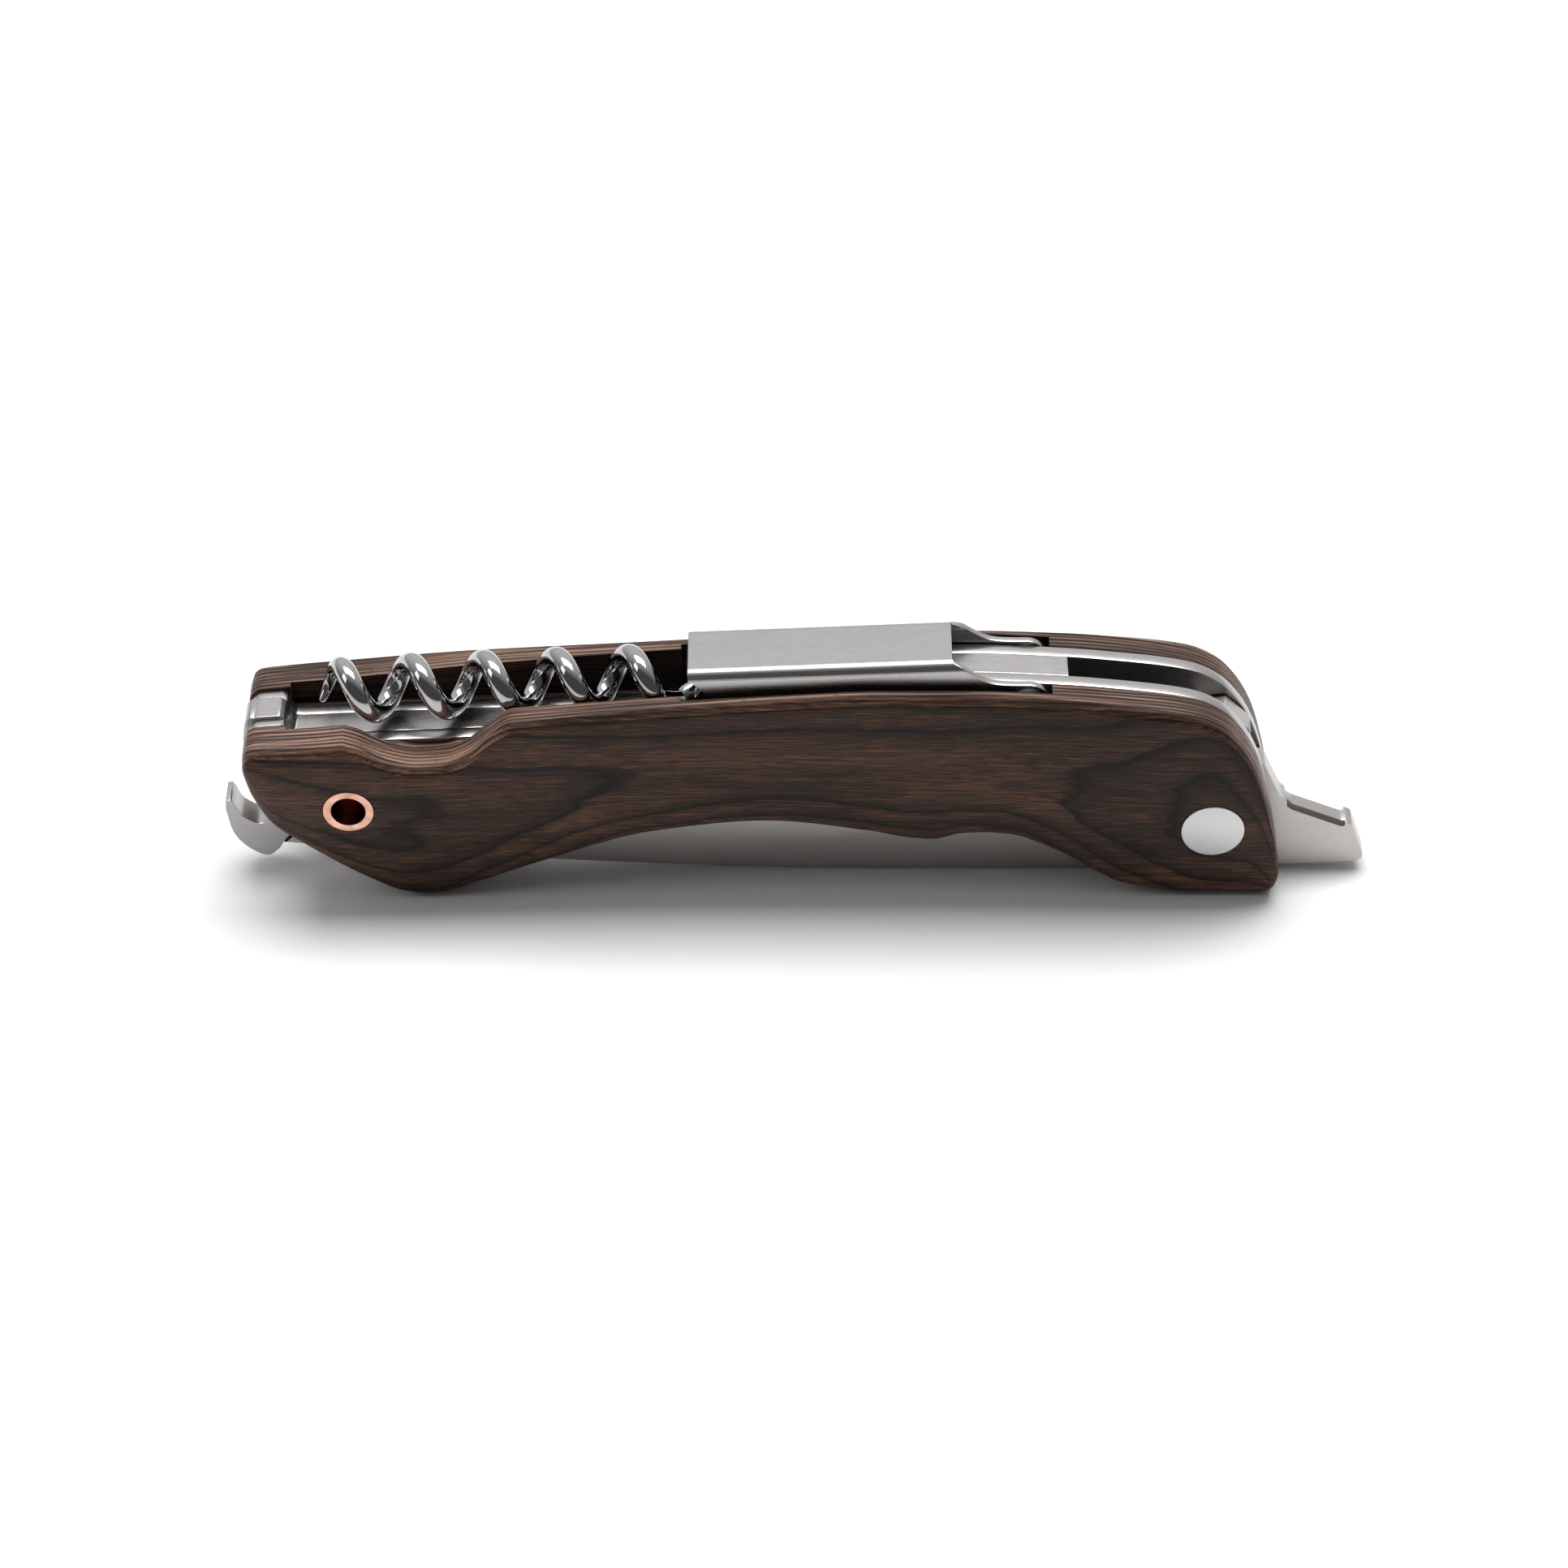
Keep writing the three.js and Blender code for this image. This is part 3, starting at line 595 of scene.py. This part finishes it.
def copper_tube():
    look = Look("copper")
    tarnish = look.noise((0.8, 0.8, 0.8), 4, 0.6)
    turning = look.noise((3.0, 9.0, 3.0), 3, 0.6)
    colour = look.colours(
        tarnish, (0.3, (0.56, 0.30, 0.21)), (0.5, (0.72, 0.42, 0.31)), (0.7, (0.80, 0.50, 0.38)),
    )
    # Painted shade: all of the tube that doesn't face along Y, the bore and the outer wall, is painted
    # dark red-brown.
    face = look.step(look.math("ABSOLUTE", look.split(look.facing)[1]), 0.3, 0.7)
    colour = look.mix(face, (0.30, 0.085, 0.045), colour)
    look.bump(turning, 0.3, 0.006)
    return look.set(Base_Color=colour, Roughness=look.step(tarnish, 0.3, 0.7, 0.38, 0.24), Metallic=1.0)


def bronze_part():
    look = Look("bronze")
    tarnish = look.noise((0.6, 0.6, 0.6), 4, 0.6)
    colour = look.colours(tarnish, (0.35, (0.30, 0.18, 0.07)), (0.65, (0.62, 0.41, 0.17)))
    look.bump(look.noise((4.0, 4.0, 4.0), 3, 0.6), 0.3, 0.006)
    return look.set(Base_Color=colour, Roughness=look.step(tarnish, 0.3, 0.7, 0.5, 0.32), Metallic=1.0)


def pale_floor():
    look = Look("pale_floor")
    cloud = look.noise((0.004, 0.004, 0.004), 2, 0.5)
    fine = look.noise((1.2, 1.2, 1.2), 3, 0.6)
    colour = look.colours(cloud, (0.3, (0.80, 0.80, 0.80)), (0.7, (0.83, 0.83, 0.83)))
    look.bump(fine, 0.05, 0.02)
    return look.set(Base_Color=colour, Roughness=look.step(fine, 0.2, 0.8, 0.85, 0.95))


WOOD = laminated_wood()
SATIN = steel("satin_steel", (0.42, 0.408, 0.402), 0.29, (0.4, 6.0, 6.0), 0.04, 0.08)
SPUN = steel("spun_steel", (0.60, 0.595, 0.59), 0.38, (2.5, 2.5, 2.5), 0.04, 0.1)
GROUND = steel("ground_steel", (0.49, 0.465, 0.452), 0.32, (9.0, 9.0, 0.5), 0.025, 0.05)
BRUSHED = steel("brushed_steel", (0.42, 0.416, 0.412), 0.27, (0.12, 10.0, 10.0), 0.025, 0.06)
POLISHED = steel("polished_steel", (0.42, 0.42, 0.425), 0.08, (1.2, 1.2, 1.2), 0.02, 0.03)
COPPER = copper_tube()
BRONZE = bronze_part()

# ---- Wooden scales ----

def along(curve, left, right, raised=0.0):
    """Points of [x, z] on a curve from left to right."""
    count = max(2, round(abs(right - left) / CURVE_STEP))
    xs = np.linspace(left, right, count)
    return [(x, float(curve(x)) + raised) for x in xs]


def scale_section(x, top, side):
    bottom = float(handle_bottom(x))
    from_end = min(x - HANDLE_LEFT, HANDLE_RIGHT - x, CHAMFER) / CHAMFER
    end_round = CHAMFER * (1 - math.sqrt(max(0, 1 - (1 - from_end) ** 2)))
    cut = min(CHAMFER, (top - bottom) / 2.8)
    soft = CHAMFER_SOFT * cut / CHAMFER
    bend = 0.7 * soft
    corner = [(cut + soft, 0), (cut - bend, bend), (bend, cut - bend), (0, cut + soft)]
    outside = [(inset, bottom + rise) for inset, rise in corner]
    outside += [(0, z) for z in np.linspace(bottom + cut + soft, top - cut - soft, FACE_STEPS)[1:-1]]
    outside += [(inset, top - rise) for inset, rise in reversed(corner)]
    section = [(STACK, bottom + INNER_EDGE), (STACK + INNER_EDGE, bottom)]
    section += [(float(half_thickness(x, z)) - end_round - inset, z) for inset, z in outside]
    section += [(STACK + INNER_EDGE, top), (STACK, top - INNER_EDGE)]
    return [(x, side * y, z) for y, z in section]


def record_figure(made):
    """Stores the number of veneers between each point and the uncut outside of the block."""
    points = np.array([v.co for v in made.data.vertices]) / MM
    x, y, z = points[:, 0] - SHIFT, np.abs(points[:, 1]), points[:, 2]
    figure = face_figure(x, z) + (y - half_thickness(x, z)) / VENEER
    attribute = made.data.attributes.new(FIGURE, "FLOAT", "POINT")
    attribute.data.foreach_set("value", figure.astype(np.float32))


def pocket_cutter(side, left, right, depth, drop):
    low, high = sorted((side * (STACK - 1), side * depth))
    outline = [(left, worm_axis(left) - drop), (right, worm_axis(right) - drop), (right, POCKET_TOP),
               (left, POCKET_TOP)]
    return solid("cutter", *prism(outline, low, high))


def scale(name, side, top_line):
    turns = np.arange(SCALE_STATIONS + 1) * math.pi / SCALE_STATIONS
    xs = HANDLE_LEFT + (HANDLE_RIGHT - HANDLE_LEFT) * (1 - np.cos(turns)) / 2
    rings = [scale_section(x, float(top_line(x)), side) for x in xs]
    made = solid(name, *lofted(rings))
    seat = DISC_FACE - DISC_THICK - FIT
    counterbore = sorted((side * seat, side * THROUGH))
    combine(made, rod(*TUBE, TUBE_OUTER + FIT, -THROUGH, THROUGH), "DIFFERENCE")
    combine(made, rod(*PIVOT, BOSS_RADIUS + FIT, -THROUGH, THROUGH), "DIFFERENCE")
    combine(made, rod(*PIVOT, DISC_RADIUS + FIT, *counterbore), "DIFFERENCE")
    for left, right, depth, drop in (
            (POCKET_LEFT, POCKET_STEP + POCKET_OVERLAP, WORM_POCKET, WORM_POCKET_DROP),
            (POCKET_STEP, POCKET_RIGHT, LEVER_POCKET, LEVER_POCKET_DROP)):
        combine(made, pocket_cutter(side, left, right, depth, drop), "DIFFERENCE")
    record_figure(made)
    dress(made, "handle", WOOD, name.replace("wooden_", ""))


# ---- Steel liners and middle plate ----
bolster_top = along(handle_top, -63, BOLSTER_RIGHT)
tray_start = [
    (BOLSTER_RIGHT, float(handle_top(BOLSTER_RIGHT)) - 0.1), (-59.1, 23.3), (-58.8, 22.6), (-58.5, 21.7),
    (-58.1, 21.25), (-57.4, tray_floor(-57.4)),
]


def liner_outline():
    left = spline([(-60.7, 16.6), (-61.2, 17.3), (-63.3, 17.9), (-63.4, 20), (-63.35, 22), (-63, 22.8)], 5)
    right_end = HANDLE_RIGHT - 0.2
    block_top = along(handle_top, -62.6, BOLSTER_RIGHT - 0.1, raised=-LINER_DROP)
    return [
        *map(tuple, left), *block_top, *tray_start[1:], (EAR_LEFT, tray_floor(EAR_LEFT)),
        (EAR_LEFT + 0.2, 28), *along(handle_top, EAR_LEFT + 1, right_end),
        *along(handle_bottom, right_end, -60.7, raised=LINER_INSET),
    ]


def liner(name, low, high):
    holes = [(TUBE, TUBE_OUTER), (PIVOT, SHANK_RADIUS), (STOP_PIN, STOP_PIN_RADIUS),
             (LEVER_PIN, LEVER_PIN_RADIUS), (WORM_PIN, WORM_PIN_RADIUS)]
    holes += [(centre, LINER_RIVET_RADIUS) for centre in LINER_RIVETS.values()]
    outline = resample(np.array(liner_outline()), OUTLINE_STEP)
    made = solid("steel_" + name, *prism(outline, low, high))
    for centre, radius in holes:
        combine(made, rod(*centre, radius + FIT, -THROUGH, THROUGH), "DIFFERENCE")
    soften_edges(made, STEEL_EDGE)
    dress(made, "handle", SATIN, name)


def middle_outline():
    hook = spline([(-60.4, 4.6), (-61.2, 3.3), (-62.6, 2.4), (-64.7, 3.6), (-66.3, 5.9), (-67, 9.6)], 8)
    mouth = spline([(-65.9, 10.3), (-65.1, 8.5), (-63.2, 7.4), (-61.4, 8.2), (-60.4, 10.2)], 8)
    nose = spline([(-63, 17.8), (-64.05, 19), (-64.1, 20.6), (-63.7, 22.9), (-63, 23.6)], 6)
    above_blade = spline(
        [(-36, 14.6), (-44, 13.9), (-50, 12.2), (-54.4, 10.1), (-58, 7.3), (-60, 5.2)], 8)
    return [
        *nose, *bolster_top[1:], *tray_start, (TRAY_RIGHT, tray_floor(TRAY_RIGHT)),
        *along(handle_top, TRAY_RIGHT, PLATE_RIGHT), (PLATE_RIGHT, 14.7), *above_blade, *hook,
        (-66.9, 10.9), (-66.3, 11), *mouth, (-60.3, 14.6), (-61.2, 16.7),
    ]


def middle_plate():
    outline = resample(np.array([tuple(p) for p in middle_outline()]), OUTLINE_STEP)
    made = solid("steel_middle_plate", *prism(outline, -PLATE_HALF, PLATE_HALF))
    holes = [(PIVOT, TAIL_SWEEP, SWEEP_SIDES), (WORM_PIN, EYE_RADIUS + EYE_GAP, ROUND_SIDES),
             (TUBE, TUBE_OUTER + FIT, ROUND_SIDES), (LEVER_PIN, LEVER_PIN_RADIUS + FIT, ROUND_SIDES)]
    holes += [(centre, LINER_RIVET_RADIUS + FIT, ROUND_SIDES) for centre in LINER_RIVETS.values()]
    for centre, radius, sides in holes:
        combine(made, rod(*centre, radius, -PLATE_THROUGH, PLATE_THROUGH, sides), "DIFFERENCE")
    soften_edges(made, STEEL_EDGE)
    dress(made, "handle", SATIN, "middle_plate")


# ---- Turned pieces ----
def softened(profile, cut):
    """A closed [radius, y] profile with its corners off the axis cut back a little."""
    points = []
    count = len(profile)
    for i, point in enumerate(profile):
        here = np.array(point, float)
        if here[0] == 0:
            points.append(tuple(here))
            continue
        before = np.array(profile[i - 1], float) - here
        after = np.array(profile[(i + 1) % count], float) - here
        first, last = (edge / np.linalg.norm(edge) for edge in (before, after))
        room = min(np.linalg.norm(before), np.linalg.norm(after)) / 3
        back = min(cut, room)
        points += [tuple(here + first * back), tuple(here + (first + last) * 0.29 * back),
                   tuple(here + last * back)]
    return points


def turned_piece(name, node, profile, centre, look, cut=TURNED_EDGE):
    made = solid(name, *turned(softened(profile, cut), *centre))
    dress(made, "handle", look, node)


def pin(name, node, centre, radius):
    profile = [(0, -STACK), (radius, -STACK), (radius, STACK), (0, STACK)]
    turned_piece(name, node, profile, centre, SPUN)


def ring(name, node, centre, bore, outer, low, high, slot, look):
    profile = [(bore, low), (outer, low), (outer, high), (bore, high)]
    turned_piece(name, node, profile, centre, look)


def round_pieces():
    for name, centre in LINER_RIVETS.items():
        pin("peened_" + name, name, centre, LINER_RIVET_RADIUS)
    pin("turned_stop_pin", "blade_stop_pin", STOP_PIN, STOP_PIN_RADIUS)
    pin("turned_worm_pin", "worm_pin", WORM_PIN, WORM_PIN_RADIUS)
    ring("copper_lanyard_tube", "lanyard_tube", TUBE, TUBE_BORE, TUBE_OUTER, -TUBE_FACE, TUBE_FACE,
         "copper", COPPER)
    inside_face = DISC_FACE - DISC_THICK
    rivet = [(0, -DISC_FACE), (DISC_RADIUS, -DISC_FACE), (DISC_RADIUS, -inside_face),
             (BOSS_RADIUS, -inside_face), (BOSS_RADIUS, -STACK - FIT), (SHANK_RADIUS, -STACK - FIT),
             (SHANK_RADIUS, SHANK_END), (0, SHANK_END)]
    bore = SHANK_RADIUS + FIT
    cap = [(0, CAP_BORE_END), (bore, CAP_BORE_END), (bore, STACK + FIT), (BOSS_RADIUS, STACK + FIT),
           (BOSS_RADIUS, inside_face), (DISC_RADIUS, inside_face), (DISC_RADIUS, DISC_FACE),
           (0, DISC_FACE)]
    turned_piece("turned_blade_rivet", "blade_rivet", rivet, PIVOT, SPUN, DISC_EDGE)
    turned_piece("turned_blade_rivet_cap", "blade_rivet_cap", cap, PIVOT, SPUN, DISC_EDGE)
    ring("bronze_blade_bush", "blade_bush", PIVOT, SHANK_RADIUS + FIT, BUSH_RADIUS,
         -PLATE_HALF, PLATE_HALF, "bronze", BRONZE)
    neck = LEVER_HALF + FIT
    head = [(0, -PIN_HEAD_FACE), (PIN_HEAD_RADIUS, -PIN_HEAD_FACE), (PIN_HEAD_RADIUS, -neck),
            (LEVER_PIN_RADIUS, -neck), (LEVER_PIN_RADIUS, neck), (PIN_HEAD_RADIUS, neck),
            (PIN_HEAD_RADIUS, PIN_HEAD_FACE), (0, PIN_HEAD_FACE)]
    turned_piece("turned_lever_pin", "lever_pin", head, LEVER_PIN, SPUN)
    lever_inside = LEVER_HALF - LEVER_SHEET
    for word, side in (("front", -1), ("back", 1)):
        low, high = sorted((side * PLATE_HALF, side * BLADE_HALF))
        ring(f"bronze_{word}_blade_washer", f"{word}_blade_washer", PIVOT, BUSH_RADIUS + FIT, BLADE_WASHER,
             low, high, "bronze", BRONZE)
        low, high = sorted((side * STACK, side * lever_inside))
        ring(f"bronze_{word}_lever_washer", f"{word}_lever_washer", LEVER_PIN,
             LEVER_PIN_RADIUS + FIT, LEVER_WASHER, low, high, "bronze", BRONZE)


# ---- Blade ----

def tail_chamfer(side):
    """Cuts the long edge between the tail's top and one of its faces."""
    top = [(57.9, 10.35), (58.6, 9.85), (59.6, 9.4), (64.6, 7.25), (65.0, 7.3)]
    section = [(BLADE_HALF + 0.2, -TAIL_CHAMFER - 0.2), (BLADE_HALF - TAIL_CHAMFER - 0.2, 0.2),
               (BLADE_HALF + 0.2, 0.2)]
    return solid("cutter", *lofted([[(x, side * y, z + rise) for y, rise in section] for x, z in top]))


def knife_blade():
    edge = spline([(-59.7, 4.7), (-57.4, 6.7), (-53.8, 9.3), (-49.5, 11.3), (-43.8, 13), (-36, 13.8)], 10)
    spine = spline([(-60.3, 4.3), (-57.5, 3.9), (-29.8, 1.6), (-7.6, 0.5), (16, 0.15), (35.6, 0.2),
                    (57.6, 0.7), (66.6, 1.15)], 20)
    tail = [(67.4, 1.6), (67.5, 2.3), (65.9, 6.9), (65.2, 7.3), (64.6, 7.2), (58.6, 9.8), (57.2, 11.2),
            (56.2, 13.4), (55, 16.2), (52.4, 17.2), (53, 21.4), (50.1, 24.3), (46.8, 23.8), (43.4, 21),
            (40.2, 16.4), (37.6, 14.9), (34.2, 14.35), (32.2, 14.3), (31.4, 13.8)]
    outline = resample(np.array([*map(tuple, spine), *tail, *map(tuple, edge[::-1])]), OUTLINE_STEP)
    made = solid("ground_blade", *prism(outline, -BLADE_HALF, BLADE_HALF))
    for side in (-1, 1):
        outer = side * GRIND_OUTER
        wedge = [(side * BLADE_HALF, GRIND_BOTTOM), (side * EDGE_HALF, GRIND_TOP),
                 (side * EDGE_HALF, GRIND_CLEAR), (outer, GRIND_CLEAR), (outer, GRIND_BOTTOM)]
        grind = solid("cutter", *lofted([[(x, y, z) for y, z in wedge] for x in GRIND_ENDS]))
        combine(made, grind, "DIFFERENCE")
        combine(made, tail_chamfer(side), "DIFFERENCE")
    combine(made, rod(*PIVOT, BUSH_RADIUS + FIT, -BLADE_THROUGH, BLADE_THROUGH), "DIFFERENCE")
    soften_edges(made, BLADE_EDGE)
    dress(made, "blade", GROUND, "blade")


# ---- Lever ----

def web_top(x):
    return worm_axis(x) + WEB_ABOVE_AXIS


def arch(half, top, bottom, radius):
    points = [(half, bottom)]
    for centre, start in ((half - radius, 0.0), (radius - half, math.pi / 2)):
        for i in range(BEND_STEPS + 1):
            angle = start + math.pi / 2 * i / BEND_STEPS
            points.append((centre + radius * math.cos(angle), top - radius + radius * math.sin(angle)))
    return points + [(-half, bottom)]


def bent_lever():
    section = arch(LEVER_HALF, 0, -LEVER_DEPTH, LEVER_BEND)
    inner = arch(LEVER_HALF - LEVER_SHEET, -LEVER_SHEET, -LEVER_DEPTH, LEVER_BEND - LEVER_SHEET)
    section += inner[::-1]
    rings = [[(x, y, web_top(x) + z) for y, z in section] for x in LEVER_ENDS]
    made = solid("bent_lever", *lofted(rings))
    shoulder = spline([(WEB_END, web_top(WEB_END) - 0.1), (19.2, 32.9), (20.6, 31.9), (22.2, 31),
                       (24, 30.65), (LEVER_PIN[0], LEVER_PIN[1] + ARM_RADIUS)], 6)
    turns = [math.pi / 2 - math.pi * i / ARM_STEPS for i in range(1, ARM_STEPS + 1)]
    pin_x, pin_z = LEVER_PIN
    arm = [(pin_x + ARM_RADIUS * math.cos(a), pin_z + ARM_RADIUS * math.sin(a)) for a in turns]
    mouth = spline([(-7.6, web_top(-7.6) - LEVER_HEIGHT), (-9, 24.6), (-9.7, 26), (-9.9, 28.4),
                    (-10.8, 29.8), (LEVER_LEFT, 31.2)], 6)
    side = [(LEVER_LEFT, LEVER_CLEAR), (WEB_END, LEVER_CLEAR), *map(tuple, shoulder), *arm,
            (20, web_top(20) - LEVER_HEIGHT), *map(tuple, mouth)]
    combine(made, solid("cutter", *prism(side, -LEVER_THROUGH, LEVER_THROUGH)), "INTERSECT")
    gap = [(WEB_END, ARM_GAP_BOTTOM), (ARM_GAP_RIGHT, ARM_GAP_BOTTOM), (ARM_GAP_RIGHT, LEVER_CLEAR),
           (WEB_END, LEVER_CLEAR)]
    combine(made, solid("cutter", *prism(gap, -ARM_GAP_HALF, ARM_GAP_HALF)), "DIFFERENCE")
    bore = rod(*LEVER_PIN, LEVER_PIN_RADIUS + FIT, -LEVER_THROUGH, LEVER_THROUGH)
    combine(made, bore, "DIFFERENCE")
    soften_edges(made, SHEET_EDGE)
    dress(made, "lever", BRUSHED, "lever")


# ---- Worm ----

def helix_point(angle):
    pitch = WORM_PITCH if angle > 0 else WORM_PITCH * TIP_PITCH
    x = FIRST_CREST + pitch * angle / (2 * math.pi)
    across = -WORM_TURN_RADIUS * math.sin(angle)
    return x, across, worm_axis(x) + WORM_TURN_RADIUS * math.cos(angle)


def wire_worm():
    last = WORM_TURNS * 2 * math.pi
    steps = round((last - TIP_ANGLE) / (2 * math.pi) * HELIX_STEPS)
    helix = [helix_point(angle) for angle in np.linspace(TIP_ANGLE, last, steps + 1)]
    shank = [(-13.4, -1.3, 25.9), (-12.2, -0.5, 26.3), (-10.9, 0, 26.6),
             (WORM_PIN[0] - EYE_RADIUS + 1.2, 0, WORM_PIN[1])]
    path = spline(helix + shank, 5)
    lengths = np.concatenate([[0], np.cumsum(np.linalg.norm(np.diff(path, axis=0), axis=1))])
    taper = TIP_TURNS * math.hypot(2 * math.pi * WORM_TURN_RADIUS, WORM_PITCH)
    cone = TIP_RADIUS + (WORM_WIRE - TIP_RADIUS) * np.clip(lengths / taper, 0, 1) ** 0.8
    ball = np.sqrt(np.clip(1.02 - (1 - np.clip(lengths / TIP_RADIUS, 0, 1)) ** 2, 0, 1))
    radii = cone * ball
    made = solid("polished_worm", *swept(path, radii, WIRE_SIDES))
    eye = softened([(0, -EYE_HALF), (EYE_RADIUS, -EYE_HALF), (EYE_RADIUS, EYE_HALF), (0, EYE_HALF)],
                   EYE_EDGE)
    combine(made, solid("cutter", *turned(eye, *WORM_PIN)), "UNION")
    bore = rod(*WORM_PIN, WORM_PIN_RADIUS + FIT, -PLATE_THROUGH, PLATE_THROUGH)
    combine(made, bore, "DIFFERENCE")
    dress(made, "worm", POLISHED, "worm")


def dress(made, body, look, node):
    """Gives a finished piece its material, smooth shading and its body, and hides the CAD node that it
    stands for.
    """
    made.data.materials.clear()
    made.data.materials.append(look)
    for polygon in made.data.polygons:
        polygon.use_smooth = True
    made.data.set_sharp_from_angle(angle=math.radians(32))
    weighted = made.modifiers.new("normals", "WEIGHTED_NORMAL")
    weighted.keep_sharp = True
    apply_modifiers(made)
    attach(made, body)
    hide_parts(node)


scale("wooden_front_scale", -1, front_top)
scale("wooden_back_scale", 1, handle_top)
liner("front_liner", -STACK, -PLATE_HALF)
liner("back_liner", PLATE_HALF, STACK)
middle_plate()
round_pieces()
knife_blade()
bent_lever()
wire_worm()


# ---- Floor, light and camera ----
def aim(thing, target):
    thing.rotation_euler = (Vector(target) - thing.location).to_track_quat("-Z", "Y").to_euler()


def soft_light(name, place_m, size, power):
    data = bpy.data.lights.new(name, "AREA")
    data.shape = "RECTANGLE"
    data.size, data.size_y = size
    data.energy = power
    light = bpy.data.objects.new(name, data)
    light.location = place_m
    bpy.context.scene.collection.objects.link(light)
    aim(light, LIGHT_TARGET)


def floor():
    corners = [(FLOOR_HALF * x, FLOOR_HALF * y, 0) for x, y in ((-1, -1), (1, -1), (1, 1), (-1, 1))]
    mesh = bpy.data.meshes.new("floor")
    mesh.from_pydata(corners, [], [(0, 1, 2, 3)])
    mesh.materials.append(pale_floor())
    plane = bpy.data.objects.new("floor", mesh)
    bpy.context.scene.collection.objects.link(plane)


def studio_world():
    """A soft room: bright above and behind, dim low and in front, so that bare steel has contrast."""
    world = bpy.data.worlds.new("studio")
    world.use_nodes = True
    tree = world.node_tree
    background = tree.nodes["Background"]
    direction = tree.nodes.new("ShaderNodeTexCoord")
    height = tree.nodes.new("ShaderNodeVectorMath")
    height.operation = "DOT_PRODUCT"
    height.inputs[1].default_value = (0.0, 0.8, 0.6)
    ramp = tree.nodes.new("ShaderNodeValToRGB")
    tree.links.new(direction.outputs["Generated"], height.inputs[0])
    tree.links.new(height.outputs["Value"], ramp.inputs["Fac"])
    tree.links.new(ramp.outputs["Color"], background.inputs["Color"])
    for element, (position, level) in zip(ramp.color_ramp.elements, ((0.05, 0.11), (0.95, 0.95))):
        element.position = position
        element.color = (level, level, level, 1)
    bpy.context.scene.world = world


def camera():
    """Looks along +Y and down, from the photograph's height."""
    data = bpy.data.cameras.new("camera")
    data.sensor_width = SENSOR_MM
    data.lens = LENS_MM
    view = bpy.data.objects.new("camera", data)
    back = Vector((0, -math.cos(CAMERA_ELEVATION), math.sin(CAMERA_ELEVATION)))
    view.location = CAMERA_TARGET + CAMERA_DISTANCE * back
    bpy.context.scene.collection.objects.link(view)
    aim(view, CAMERA_TARGET)
    bpy.context.scene.camera = view


floor()
studio_world()
soft_light("overhead", (0.0, 0.19, 0.75), (0.8, 0.36), 7.6)
soft_light("left_fill", (-0.75, -0.2, 0.55), (0.3, 0.5), 1.0)
camera()
bpy.context.scene.view_settings.view_transform = "Standard"
